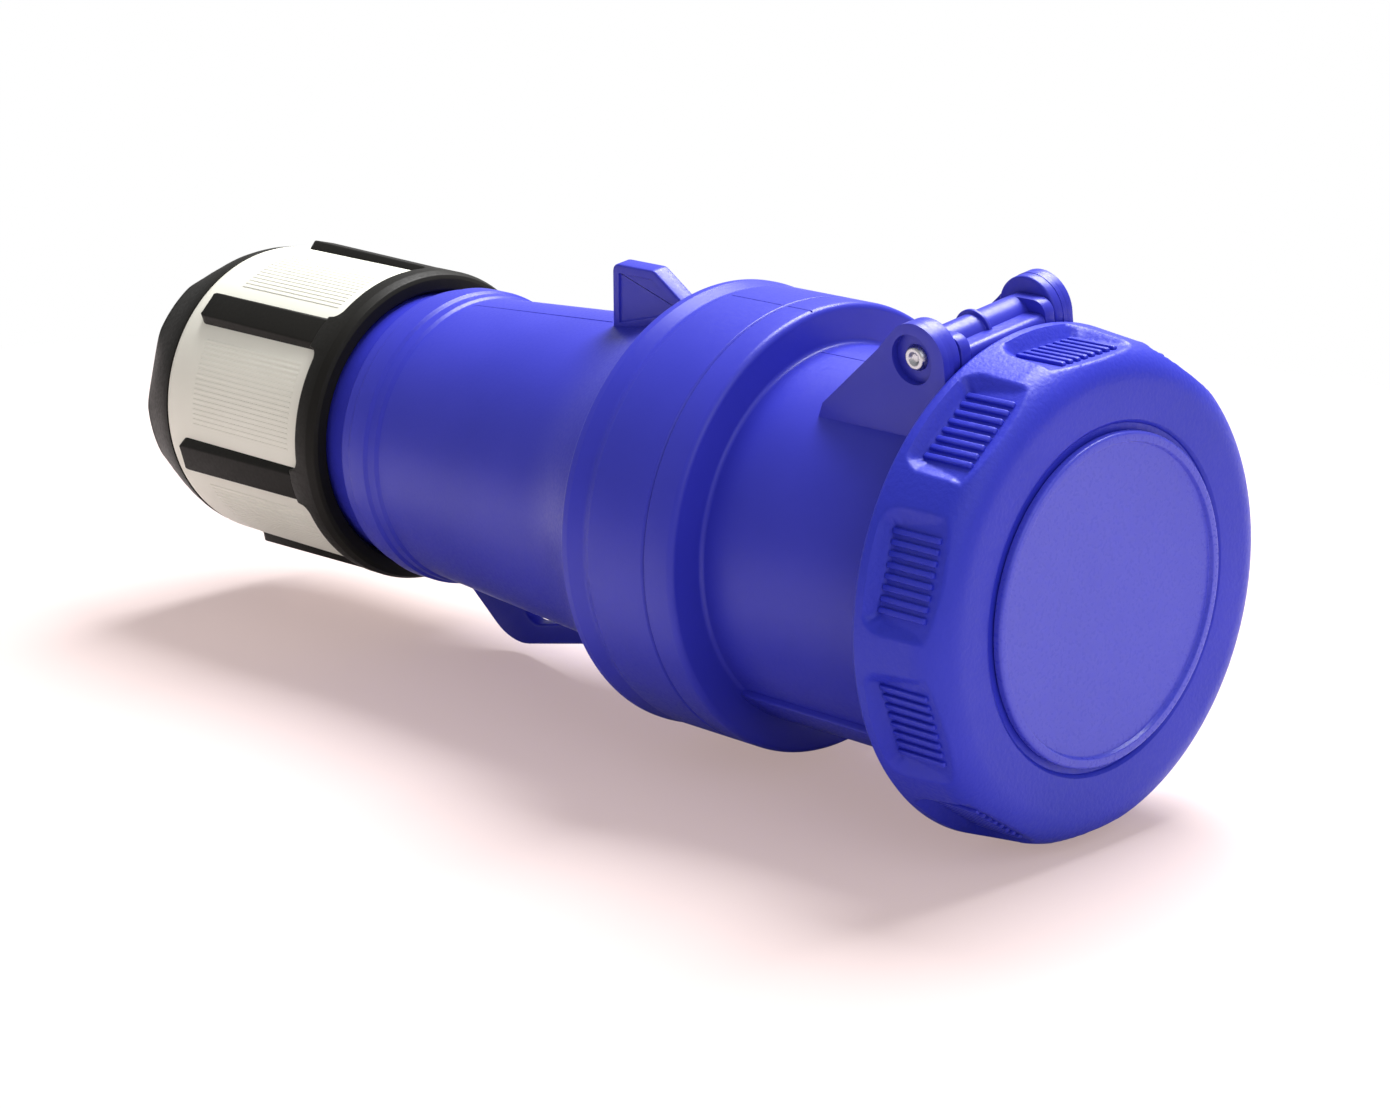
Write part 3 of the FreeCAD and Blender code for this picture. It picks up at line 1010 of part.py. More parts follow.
# Hinge pin with a riveted head at each end
pin = new_body("hinge_pin")
PIN_HALF = total("ear_outside", "-sink_depth")
shank = new_sketch(pin, "pin_outline", "XZ_Plane")
draw_circle(shank, HINGE_X, "dims.hinge_height", "dims.pin_radius")
extrude(pin, "shank", shank, f"{PIN_HALF} * 2", side="Symmetric")
head = new_sketch(pin, "pin_head_outline", "XZ_Plane", PIN_HALF)
draw_circle(head, HINGE_X, "dims.hinge_height", "dims.pin_head_radius")
head_pad = extrude(pin, "pin_head", head, "dims.pin_head")
dimple = new_sketch(pin, "dimple_outline", "XZ_Plane", f"{PIN_HALF} + dims.pin_head")
draw_circle(dimple, HINGE_X, "dims.hinge_height", "dims.pin_radius * 0.5")
dimple_cut = extrude(pin, "dimple", dimple, "dims.pin_head * 0.6", cut=True)
mirror(pin, "pin_heads", [head_pad, dimple_cut])

# Torsion spring on the pin inside the knuckle
path = doc.addObject("Part::Helix", "spring_path")
path.setExpression("Radius", "dims.spring_radius")
path.setExpression("Pitch", "(dims.spring_length - dims.spring_wire * 4) / dims.spring_turns")
path.setExpression("Height", "dims.spring_length - dims.spring_wire * 4")
path.Placement = FreeCAD.Placement(FreeCAD.Vector(), FreeCAD.Rotation(FreeCAD.Vector(1, 0, 0), 90))
path.setExpression("Placement.Base.x", HINGE_X)
path.setExpression("Placement.Base.y", "dims.spring_length / 2 - dims.spring_wire * 2")
path.setExpression("Placement.Base.z", "dims.hinge_height")
wire = doc.addObject("Part::Circle", "spring_wire")
wire.setExpression("Radius", "dims.spring_wire")
wire.setExpression("Placement.Base.x", f"{HINGE_X} + dims.spring_radius")
wire.setExpression("Placement.Base.y", "dims.spring_length / 2 - dims.spring_wire * 2")
wire.setExpression("Placement.Base.z", "dims.hinge_height")
lid_spring = doc.addObject("Part::Sweep", "lid_spring")
lid_spring.Sections = [wire]
lid_spring.Spine = (path, [])
lid_spring.Solid = True
lid_spring.Frenet = True

doc.recompute()

NODES = [
    "rear_housing", "front_housing", "housing_seal", "contact_carrier", "retaining_plate",
    "contact_line", "contact_neutral", "contact_earth", "contact_pilot", "contact_clips",
    "terminal_screws", "carrier_screws", "hinge_pin", "lid_spring", "lid_cap", "lid_disc",
    "lid_seal", "bayonet_ring", "gland_nut", "nut_grip", "nut_end_cap", "clamping_cage", "cable_seal",
]
for item in doc.Objects:
    if "Invalid" in item.State or "Error" in item.State:
        raise RuntimeError(f"{item.Label} did not build: {item.State}")
for name in NODES:
    node = doc.getObject(name)
    if node is None or node.Shape.isNull() or not node.Shape.isValid() or not node.Shape.Solids:
        raise RuntimeError(f"{name} has no valid solid")
    node.Label = name
    node.Shape.exportStep(os.path.join("parts", name + ".step"))
    print(name, len(node.Shape.Solids), round(node.Shape.Volume / 1000, 2), "cm3")
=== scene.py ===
import json
import logging
import math
from dataclasses import dataclass, field
from enum import Enum
from typing import Callable, Sequence

import bmesh
import bpy
from mathutils import Matrix, Vector

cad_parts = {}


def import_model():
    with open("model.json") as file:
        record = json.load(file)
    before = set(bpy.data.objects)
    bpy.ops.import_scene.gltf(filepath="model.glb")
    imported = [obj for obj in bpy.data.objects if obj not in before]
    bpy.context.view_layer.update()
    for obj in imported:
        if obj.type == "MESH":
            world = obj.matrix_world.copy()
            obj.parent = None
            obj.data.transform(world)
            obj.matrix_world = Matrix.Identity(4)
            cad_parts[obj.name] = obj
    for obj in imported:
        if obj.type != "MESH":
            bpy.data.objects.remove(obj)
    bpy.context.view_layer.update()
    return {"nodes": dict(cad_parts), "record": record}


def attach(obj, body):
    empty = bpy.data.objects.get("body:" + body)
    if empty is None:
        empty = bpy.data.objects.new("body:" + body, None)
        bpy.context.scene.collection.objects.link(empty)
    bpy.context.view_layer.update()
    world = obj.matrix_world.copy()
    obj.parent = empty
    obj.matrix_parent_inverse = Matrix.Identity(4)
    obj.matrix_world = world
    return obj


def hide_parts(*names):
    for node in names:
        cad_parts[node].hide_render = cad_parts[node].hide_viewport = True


log = logging.getLogger("coupler")
MM = 0.001

# A corner of an outline: place along, place up or radius, rounding, all in millimetres.
Corner = tuple[float, float, float]
Point = tuple[float, float]
Place = tuple[float, float, float]
Colour = tuple[float, float, float]
Socket = bpy.types.NodeSocket

# Lengths below this count as nothing.
TINY = 0.000001


class Body(Enum):
    """The moving groups of the coupler that a piece can ride on."""

    HOUSING = "housing"
    LID = "lid"
    RING = "ring"
    NUT = "nut"


# Finishes


# Numbers of a mix node's colour sockets: the two that go in and the one that comes out.
MIX_FIRST, MIX_SECOND, MIX_RESULT = 6, 7, 2


def linear(red: int, green: int, blue: int) -> Colour:
    """A colour given as screen values from 0 to 255, as the shader wants it."""
    return tuple(((value / 255 + 0.055) / 1.055) ** 2.4 for value in (red, green, blue))


class Shader:
    """A material with one principled shader, and short calls that add its nodes."""

    def __init__(self, name: str) -> None:
        """Start an empty material.

        Args:
            name: the material's name.
        """
        self.material = bpy.data.materials.new(name)
        self.material.use_nodes = True
        self.tree = self.material.node_tree
        self.surface = self.tree.nodes["Principled BSDF"]
        self.place = self.node("ShaderNodeTexCoord").outputs["Object"]

    def node(self, kind: str, inputs: dict | None = None, **settings) -> bpy.types.Node:
        """Add a node.

        Args:
            kind: the node's type.
            inputs: socket name or number to a value, or to an output that feeds it.
            settings: the node's own settings.

        Returns:
            The new node.
        """
        made = self.tree.nodes.new(kind)
        for key, value in settings.items():
            setattr(made, key, value)
        for key, value in (inputs or {}).items():
            if isinstance(value, Socket):
                self.tree.links.new(value, made.inputs[key])
            else:
                made.inputs[key].default_value = value
        return made

    def noise(self, scale: float, detail: float, vector: Socket | None = None) -> Socket:
        """Noise over the object's own place, with a scale per metre."""
        inputs = {"Vector": vector or self.place, "Scale": scale, "Detail": detail}
        return self.node("ShaderNodeTexNoise", inputs).outputs["Fac"]

    def spread(self, value: Socket, low: float, high: float) -> Socket:
        """Stretch a texture value from its middle range to low..high."""
        limits = {"Value": value, "From Min": 0.3, "From Max": 0.7, "To Min": low, "To Max": high}
        return self.node("ShaderNodeMapRange", limits).outputs["Result"]

    def mix(self, share: Socket, first: Colour, second: Colour) -> Socket:
        """Blend two colours by a texture value."""
        colours = {MIX_FIRST: (*first, 1.0), MIX_SECOND: (*second, 1.0)}
        made = self.node("ShaderNodeMix", colours, data_type="RGBA")
        self.tree.links.new(share, made.inputs["Factor"])
        return made.outputs[MIX_RESULT]

    def combined(self, operation: str, first: Socket, second: Socket | float) -> Socket:
        """Combine two values."""
        made = self.node("ShaderNodeMath", {0: first, 1: second}, operation=operation)
        return made.outputs["Value"]

    def link(self, value: Socket, socket: str) -> None:
        """Feed a socket of the principled shader."""
        self.tree.links.new(value, self.surface.inputs[socket])

    def bump(
        self, height: Socket, strength: float, distance: float, under: Socket | None = None,
    ) -> Socket:
        """Add relief to the surface.

        Args:
            height: texture value that stands for the height.
            strength: from 0 to 1.
            distance: height of the relief, in metres.
            under: normal of a coarser relief below this one.

        Returns:
            The new normal.
        """
        inputs = {"Height": height, "Strength": strength, "Distance": distance}
        if under is not None:
            inputs["Normal"] = under
        return self.node("ShaderNodeBump", inputs).outputs["Normal"]


@dataclass(frozen=True)
class Moulded:
    """Moulded plastic: slightly clouded colour, spark-eroded grain and a soft gloss."""

    name: str
    colour: Colour
    deep: Colour
    roughness: float
    grain: float = 1500.0
    grain_height: float = 0.00004
    specular: float = 0.5
    grain_strength: float = 0.5
    gloss_spread: float = 0.06
    cloud: float = 28.0
    ripple: float = 140.0
    ripple_height: float = 0.00006
    ripple_strength: float = 0.2

    def make(self) -> bpy.types.Material:
        """Build the material."""
        shader = Shader(self.name)
        cloud = shader.spread(shader.noise(self.cloud, 4.0), 0.0, 1.0)
        shader.link(shader.mix(cloud, self.deep, self.colour), "Base Color")
        speck = shader.noise(self.grain, 2.0)
        gloss = shader.spread(
            speck, self.roughness - self.gloss_spread, self.roughness + self.gloss_spread)
        shader.link(gloss, "Roughness")
        shader.surface.inputs["Specular IOR Level"].default_value = self.specular
        wide = shader.bump(
            shader.noise(self.ripple, 2.0), self.ripple_strength, self.ripple_height)
        shader.link(shader.bump(speck, self.grain_strength, self.grain_height, wide), "Normal")
        return shader.material


@dataclass(frozen=True)
class Metal:
    """Turned or drawn metal with faint tool marks."""

    name: str
    colour: Colour
    dull: float = 0.82
    roughness: float = 0.28
    shinier: float = 0.06
    rougher: float = 0.08
    mark: float = 900.0
    mark_stretch: Place = (6.0, 1.0, 1.0)
    mark_height: float = 0.00003
    mark_strength: float = 0.3

    def make(self) -> bpy.types.Material:
        """Build the material."""
        shader = Shader(self.name)
        inputs = {"Vector": shader.place, "Scale": self.mark_stretch}
        stretched = shader.node("ShaderNodeMapping", inputs).outputs["Vector"]
        marks = shader.noise(self.mark, 3.0, stretched)
        darker = tuple(self.dull * part for part in self.colour)
        shader.link(shader.mix(shader.spread(marks, 0.0, 1.0), darker, self.colour), "Base Color")
        gloss = shader.spread(marks, self.roughness - self.shinier, self.roughness + self.rougher)
        shader.link(gloss, "Roughness")
        shader.surface.inputs["Metallic"].default_value = 1.0
        shader.link(shader.bump(marks, self.mark_strength, self.mark_height), "Normal")
        return shader.material


class Finish(Enum):
    """The finishes of the coupler; the first nine belong to the record's material slots."""

    housing_plastic = Moulded(
        "housing_plastic_finish", linear(50, 53, 178), linear(43, 47, 169),
        roughness=0.38, grain=1300.0, grain_height=0.00003, specular=0.3)
    lid_plastic = Moulded(
        "lid_plastic_finish", linear(68, 72, 195), linear(65, 69, 190),
        roughness=0.3, grain=1100.0, grain_height=0.000006, specular=0.32)
    grip_rubber = Moulded(
        "grip_rubber_finish", linear(25, 24, 21), linear(20, 19, 17),
        roughness=0.5, grain=1100.0, grain_height=0.00003, specular=0.14)
    shell_plastic = Moulded(
        "shell_plastic_finish", linear(222, 221, 210), linear(217, 216, 204),
        roughness=0.42, grain=900.0, grain_height=0.00002, specular=0.35)
    carrier_plastic = Moulded(
        "carrier_plastic_finish", linear(122, 124, 128), linear(112, 114, 118), roughness=0.5)
    cage_plastic = Moulded(
        "cage_plastic_finish", linear(44, 44, 46), linear(36, 36, 38), roughness=0.5)
    seal_rubber = Moulded(
        "seal_rubber_finish", linear(36, 36, 37), linear(28, 28, 29),
        roughness=0.6, grain=1100.0, grain_height=0.00003, specular=0.3)
    contact_brass = Metal("contact_brass_finish", linear(212, 172, 104))
    steel = Metal("steel_finish", linear(200, 200, 206))
    coarse_plastic = Moulded(
        "coarse_plastic_finish", linear(42, 48, 184), linear(34, 44, 174),
        roughness=0.45, grain=1000.0, grain_height=0.0002, specular=0.3)

    @property
    def material(self) -> bpy.types.Material:
        """The finish's material, made when first asked for; the frame has none of that name."""
        return bpy.data.materials.get(self.value.name) or self.value.make()


# Outlines


# Half the angle, in radians, of a corner that is as good as straight.
STRAIGHT_HALF = math.radians(89.5)
# Share of a side that a corner's rounding may take.
SIDE_SHARE = 0.49


def arc(middle: Point, radius: float, start: float, stop: float, parts: int) -> list[Corner]:
    """Points of an arc; angles in degrees run from the first axis towards the second."""
    along, up = middle
    angles = [math.radians(start + (stop - start) * part / parts) for part in range(parts + 1)]
    return [(along + radius * math.cos(a), up + radius * math.sin(a), 0.0) for a in angles]


def rounded(corners: Sequence[Corner], parts: int = 6) -> list[Point]:
    """Closed outline with its corners rounded.

    Args:
        corners: the outline's corners, each with its rounding.
        parts: straight pieces of each rounding.

    Returns:
        The outline's points.
    """
    points = []
    count = len(corners)
    for index, (along, up, radius) in enumerate(corners):
        corner = Vector((along, up))
        before = Vector(corners[index - 1][:2]) - corner
        after = Vector(corners[(index + 1) % count][:2]) - corner
        if radius <= 0 or before.length < TINY or after.length < TINY:
            points.append((along, up))
            continue
        half = before.angle(after) / 2
        if half > STRAIGHT_HALF:
            points.append((along, up))
            continue
        reach = min(radius / math.tan(half), SIDE_SHARE * before.length, SIDE_SHARE * after.length)
        radius = reach * math.tan(half)
        inward = (before.normalized() + after.normalized()).normalized()
        middle = corner + inward * radius / math.sin(half)
        first = corner + before.normalized() * reach - middle
        last = corner + after.normalized() * reach - middle
        turn = first.angle_signed(last)
        for part in range(parts + 1):
            spoke = Matrix.Rotation(-turn * part / parts, 2) @ first
            points.append(tuple(middle + spoke))
    return points


# Forms


# Moves a point of a turned piece, given as station, radius and angle, to a new station and radius.
Press = Callable[[float, float, float], Point]
Part = bmesh.types.BMesh

# Turned pieces are made of so many equal wedges.
WEDGES = 8
# Degrees of each step of a sector.
SECTOR_STEP = 0.75
# Edges sharper than this, in radians, are rounded, in so many segments.
ROUNDED_FROM = math.radians(35.0)
ROUNDED_SEGMENTS = 3
# A face that looks this much along Y counts as a plate's side.
SIDE_FACING = 0.99
# Width of the slope round a sunk panel, in millimetres.
PANEL_SLOPE = 0.3
# Rounding of the fine line that the mould leaves, in millimetres.
SEAM_SOFT = 0.05


def part_loop(part: Part, points: Sequence[Point], up: float = 0.0) -> tuple[list, list]:
    """Closed chain of edges through (x, z) points at one y, all in millimetres."""
    verts = [part.verts.new((x * MM, up * MM, z * MM)) for x, z in points]
    return verts, [part.edges.new((verts[i - 1], verts[i])) for i in range(len(verts))]


def about_axis(angle: float) -> Matrix:
    """Turn about the coupler's axis; degrees run from the top towards +Y."""
    return Matrix.Rotation(-math.radians(angle), 4, "X")


def round_axis(first: float, count: int) -> list[Matrix]:
    """Places spread evenly about the coupler's axis, from a first angle on."""
    return [about_axis(first + number * 360 / count) for number in range(count)]


def soften(part: Part, soft: float) -> None:
    """Round the sharp edges of a part.

    Args:
        part: the part.
        soft: radius of the rounding, in millimetres.
    """
    bmesh.ops.recalc_face_normals(part, faces=part.faces)
    if soft <= 0:
        return
    sharp = [edge for edge in part.edges
             if len(edge.link_faces) == 2 and edge.calc_face_angle(0) > ROUNDED_FROM]
    bmesh.ops.bevel(
        part, geom=sharp, offset=soft * MM, offset_type="OFFSET", segments=ROUNDED_SEGMENTS,
        profile=0.5, affect="EDGES", clamp_overlap=True, material=-1,
    )


@dataclass
class Form:
    """A piece's mesh under construction, with the few ways of shaping that the coupler needs."""

    mesh: Part = field(default_factory=bmesh.new)

    def add(self, part: Part, places: Sequence[Matrix]) -> None:
        """Copy a shaped part into the piece, once for each place.

        Args:
            part: the part, which is used up.
            places: where its copies go.
        """
        data = bpy.data.meshes.new("part")
        part.to_mesh(data)
        part.free()
        for place in places:
            data.transform(place)
            self.mesh.from_mesh(data)
            data.transform(place.inverted())
        bpy.data.meshes.remove(data)

    def turned(
        self, corners: Sequence[Corner], steps: int, place: Matrix = Matrix(),
        press: Press | None = None,
    ) -> None:
        """Turn a closed outline of (station, radius) right round the X axis.

        Args:
            corners: the outline, with roundings.
            steps: steps round the axis, a multiple of the number of wedges.
            place: where the turned piece goes, if not on the coupler's axis.
            press: moves each (station, radius) that lies at an angle from the top, in degrees.
        """
        part = bmesh.new()
        verts, edges = part_loop(part, rounded(corners))
        bmesh.ops.spin(
            part, geom=verts + edges, axis=(1, 0, 0), angle=math.tau / WEDGES,
            steps=steps // WEDGES)
        whole = Form()
        whole.add(part, [about_axis(360 / WEDGES * number) for number in range(WEDGES)])
        bmesh.ops.remove_doubles(whole.mesh, verts=whole.mesh.verts, dist=TINY)
        if press is not None:
            whole.pressed(press)
        self.add(whole.mesh, [place])

    def pressed(self, press: Press) -> None:
        """Move every point off the axis as the press says."""
        for vert in self.mesh.verts:
            _, across, up = vert.co
            radius = math.hypot(across, up)
            if radius < TINY:
                continue
            angle = math.degrees(math.atan2(across, up))
            station, reach = press(vert.co.x / MM, radius / MM, angle)
            vert.co = (station * MM, across * reach * MM / radius, up * reach * MM / radius)

    def sector(self, corners: Sequence[Corner], middle: float, half: float, soft: float) -> None:
        """Part of a turned ring.

        Args:
            corners: the outline of (station, radius), with roundings.
            middle: angle of its middle from the top towards +Y, in degrees.
            half: half of its angle.
            soft: rounding of its edges.
        """
        part = bmesh.new()
        verts, _ = part_loop(part, rounded(corners, 3))
        face = part.faces.new(verts)
        steps = max(4, int(half / SECTOR_STEP))
        turn = -math.radians(2 * half)
        bmesh.ops.spin(part, geom=[face], axis=(1, 0, 0), angle=turn, steps=steps)
        soften(part, soft)
        self.add(part, [about_axis(middle - half)])

    def plate(
        self, outlines: Sequence[Sequence[Point]], low: float, high: float, soft: float = 0.0,
        places: Sequence[Matrix] = (Matrix(),), panel: Point | None = None,
    ) -> None:
        """Flat plate in the XZ plane, from low to high along Y.

        Args:
            outlines: the plate's outline, then those of its holes.
            low: one face.
            high: the other face.
            soft: rounding of its edges.
            places: where its copies go.
            panel: border and depth of a sunk panel in both faces.
        """
        part = bmesh.new()
        edges = [edge for outline in outlines for edge in part_loop(part, outline, low)[1]]
        if len(outlines) == 1:
            faces = bmesh.ops.contextual_create(part, geom=edges)["faces"]
        else:
            filled = bmesh.ops.triangle_fill(
                part, use_beauty=True, use_dissolve=False, edges=edges)["geom"]
            faces = [item for item in filled if isinstance(item, bmesh.types.BMFace)]
        raised = bmesh.ops.extrude_face_region(part, geom=faces, use_keep_orig=True)["geom"]
        top = [item for item in raised if isinstance(item, bmesh.types.BMVert)]
        bmesh.ops.translate(part, verts=top, vec=(0, (high - low) * MM, 0))
        soften(part, soft)
        if panel is not None:
            border, depth = panel
            sides = [face for face in part.faces if abs(face.normal.y) > SIDE_FACING]
            for thickness, sink in ((border, 0.0), (PANEL_SLOPE, -depth)):
                bmesh.ops.inset_individual(
                    part, faces=sides, thickness=thickness * MM, depth=sink * MM,
                    use_even_offset=True)
        self.add(part, places)

    def finish(self, name: str, sharp: float) -> bpy.types.Object:
        """Make the object, at the origin, smooth but for edges sharper than so many degrees."""
        bmesh.ops.recalc_face_normals(self.mesh, faces=self.mesh.faces)
        data = bpy.data.meshes.new(name)
        self.mesh.to_mesh(data)
        self.mesh.free()
        data.shade_smooth()
        data.set_sharp_from_angle(angle=math.radians(sharp))
        made = bpy.data.objects.new(name, data)
        bpy.context.scene.collection.objects.link(made)
        return made


def along_pin(x: float, z: float, flip: bool = False) -> Matrix:
    """Place that lays a turned piece along Y, its station 0 in the middle; flip looks to -Y."""
    turn = Matrix.Rotation(math.radians(-90 if flip else 90), 4, "Z")
    return Matrix.Translation(Vector((x, 0.0, z)) * MM) @ turn


def circle(middle: Point, radius: float, parts: int = 48) -> list[Point]:
    """Closed circle of points."""
    return [point[:2] for point in arc(middle, radius, 0, 360 - 360 / parts, parts - 1)]


# Pieces


@dataclass
class Piece:
    """A piece of the coupler, dressed, that stands for a node of the frame."""

    name: str = ""
    node: str = ""
    body: Body = Body.HOUSING
    finish: Finish = Finish.housing_plastic
    slot: str = "housing_plastic"
    sharp: float = 40.0

    def shape(self, form: Form) -> None:
        """Build the piece's mesh."""
        raise NotImplementedError

    def build(self) -> bpy.types.Object:
        """Build and dress the piece, and let it ride on its body."""
        form = Form()
        self.shape(form)
        made = form.finish(self.name, self.sharp)
        made.data.materials.append(self.finish.material)
        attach(made, self.body.value)
        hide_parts(self.node)
        log.info("%s: %d faces", self.name, len(made.data.polygons))
        return made


@dataclass
class RearHousing(Piece):
    """Rear housing: neck, collar, tapering body, hollow flare and flange, with loop and tab."""

    name: str = "rear_moulding"
    node: str = "rear_housing"
    neck: float = 33.8
    collar: float = 37.1
    flange: float = 51.9
    rim: float = 52.3
    bore: float = 30.2
    loop_half: float = 2.0
    seam: float = 0.12
    tab_half: float = 2.3
    tab_border: float = 1.6
    tab_recess: float = 0.5

    def shell(self, form: Form) -> None:
        """Turn the hollow body."""
        form.turned([
            (22.5, self.bore, 0), (22.5, self.neck, 0.8), (85.0, self.neck, 0.3),
            (85.0, self.collar - 0.9, 0.5), (88.4, self.collar - 0.9, 0.3),
            (89.2, self.collar, 0.6), (94.6, self.collar, 0.5), (95.4, self.collar - 0.7, 0.5),
            (97.9, self.collar - 0.8, 0.7), (98.8, 35.7, 0.8), (162.5, 39.9, 60.0),
            (177.3, 46.4, 2.0), (181.3, 50.9, 0.8), (182.8, self.rim, 1.3), (184.6, self.rim, 1.2),
            (188.8, 51.1, 2.0), (191.0, self.flange, 1.5), (208.0, self.flange, 0.4),
            (208.5, self.flange - 0.5, 0.2), (208.5, 48.7, 0), (185.8, 48.7, 0.5),
            (178.3, 43.2, 1.0), (162.5, 36.7, 60.0), (101.5, 32.5, 0.5), (98.5, self.bore, 0.5),
        ], 288)

    def loop(self, form: Form) -> None:
        """Cut the hanging loop from a plate."""
        form.plate([rounded([
            (85.5, -34.5, 0), (85.5, -41.5, 2.5), (99.0, -54.6, 13.0), (156.8, -41.5, 0),
            (156.8, -38.9, 0), (144.0, -38.9, 2.0), (105.6, -47.6, 4.5), (105.6, -34.5, 0),
        ], 8)], -self.loop_half, self.loop_half, 0.8)

    def tab(self, form: Form) -> None:
        """Cut the tab from a plate, with a sunk panel in each side."""
        form.plate([rounded([
            (152.3, 37.4, 0), (154.9, 54.9, 2.2), (168.6, 54.9, 2.6), (178.9, 47.3, 0),
            (178.9, 44.4, 0),
        ], 5)], -self.tab_half, self.tab_half, 0.5, panel=(self.tab_border, self.tab_recess))

    def line(self, form: Form) -> None:
        """Raise the fine line where the mould's halves met, on top of the body and the flange."""
        body = [(100.0, 35.0), (100.0, 35.85), (150.0, 39.2), (150.0, 38.0)]
        flange = [(191.5, 51.0), (191.5, 51.98), (207.9, 51.98), (207.9, 51.0)]
        for outline in (body, flange):
            form.plate([outline], -self.seam, self.seam, SEAM_SOFT)

    def shape(self, form: Form) -> None:
        """Build the housing's mesh."""
        self.shell(form)
        self.loop(form)
        self.tab(form)
        self.line(form)


@dataclass
class FrontHousing(Piece):
    """Front housing: spigot, flange, barrel with key ridge and lugs, and the two hinge ears."""

    name: str = "front_moulding"
    node: str = "front_housing"
    flange: float = 51.9
    barrel: float = 42.6
    bore: float = 39.8
    rim: float = 289.0
    ridge: float = 44.2
    ridge_half_angle: float = 51.5
    groove_half_angle: float = 10.0
    groove: float = 1.6
    groove_back: float = 222.4
    groove_reach: float = 0.45
    lug: float = 46.0
    lug_back: float = 280.0
    lug_front: float = 284.5
    lug_half_angle: float = 11.0
    lug_angles: tuple[float, float] = (93.0, -51.0)
    root: float = 0.5
    hinge_x: float = 265.0
    hinge_z: float = 54.7
    boss: float = 8.0
    boss_lead: float = 0.9
    sink: float = 5.5
    sink_depth: float = 1.8
    pin_hole: float = 2.05
    ear_outside: float = 20.7
    ear_inside: float = 15.2
    ear_soft: float = 0.5
    web_inside: float = 17.7
    web_overlap: float = 0.02
    boss_inset: float = 0.01
    boss_gap: float = 0.2
    boss_step: float = 0.1
    seam: float = 0.12
    seam_root: float = 0.6
    seam_height: float = 0.09

    def sunk(self, station: float, radius: float, angle: float) -> Point:
        """Sink the key groove in the barrel's bore, at the bottom."""
        inside = station > self.groove_back and radius < self.bore + self.groove_reach
        if inside and abs(angle) > 180 - self.groove_half_angle:
            return station, radius + self.groove
        return station, radius

    def shell(self, form: Form) -> None:
        """Turn spigot, flange, floor and barrel."""
        form.turned([
            (199.5, 45.4, 0), (199.5, 48.4, 0.4), (202.8, 48.4, 0), (202.8, 46.8, 0),
            (205.2, 46.8, 0), (205.2, 48.4, 0), (208.5, 48.4, 0),
            (208.5, self.flange - 0.5, 0.2), (209.0, self.flange, 0.4),
            (217.3, self.flange, 1.6), (217.3, self.barrel, 1.2), (self.rim, self.barrel, 0.6),
            (self.rim, self.bore, 0.5), (222.1, self.bore, 0.4), (222.1, 35.1, 0.3),
            (214.1, 35.1, 0), (214.1, 45.4, 0.5),
        ], 288, press=self.sunk)

    def line(self, form: Form) -> None:
        """Raise the fine line where the mould's halves met, on top of the flange and the barrel."""
        for start, stop, radius in ((209.1, 216.6, self.flange), (218.0, 261.0, self.barrel)):
            low, high = radius - self.seam_root, radius + self.seam_height
            outline = [(start, low), (start, high), (stop, high), (stop, low)]
            form.plate([outline], -self.seam, self.seam, SEAM_SOFT)

    def ridges(self, form: Form) -> None:
        """Add the key ridge and the two bayonet lugs."""
        low, ridge, rim = self.barrel - self.root, self.ridge, self.rim
        form.sector(
            [(216.8, low, 0), (216.8, ridge, 0), (rim, ridge, 0.5), (rim, low, 0)],
            180.0, self.ridge_half_angle, 0.35)
        back, front, lug = self.lug_back, self.lug_front, self.lug
        for middle in self.lug_angles:
            form.sector(
                [(back, low, 0), (back, lug, 0.3), (front, lug, 0.3), (front, low, 0)],
                middle, self.lug_half_angle, 0.3)

    def ears(self, form: Form) -> None:
        """Cut the hinge ears and their bosses from plates."""
        boss_x = self.hinge_x + self.boss_lead
        middle = (self.hinge_x, self.hinge_z)
        outline = rounded([
            (235.8, 36.4, 0), (237.8, 40.6, 1.0), (255.4, 55.5, 12.0),
            *arc((boss_x, self.hinge_z), self.boss - self.boss_inset, 128, 0, 24),
            (boss_x + self.boss, 36.4, 0),
        ])
        boss = circle((boss_x, self.hinge_z), self.boss - self.boss_step, 72)
        sink, hole = circle(middle, self.sink), circle(middle, self.pin_hole)
        soft, floor = self.ear_soft, self.ear_outside - self.sink_depth
        web, back = floor + self.web_overlap, floor - self.boss_gap
        for side in (-1, 1):
            form.plate([outline, sink], side * floor, side * self.ear_outside, soft)
            form.plate([outline, hole], side * self.web_inside, side * web)
            form.plate([boss, hole], side * self.ear_inside, side * back, soft)

    def shape(self, form: Form) -> None:
        """Build the housing's mesh."""
        self.shell(form)
        self.ridges(form)
        self.line(form)
        self.ears(form)


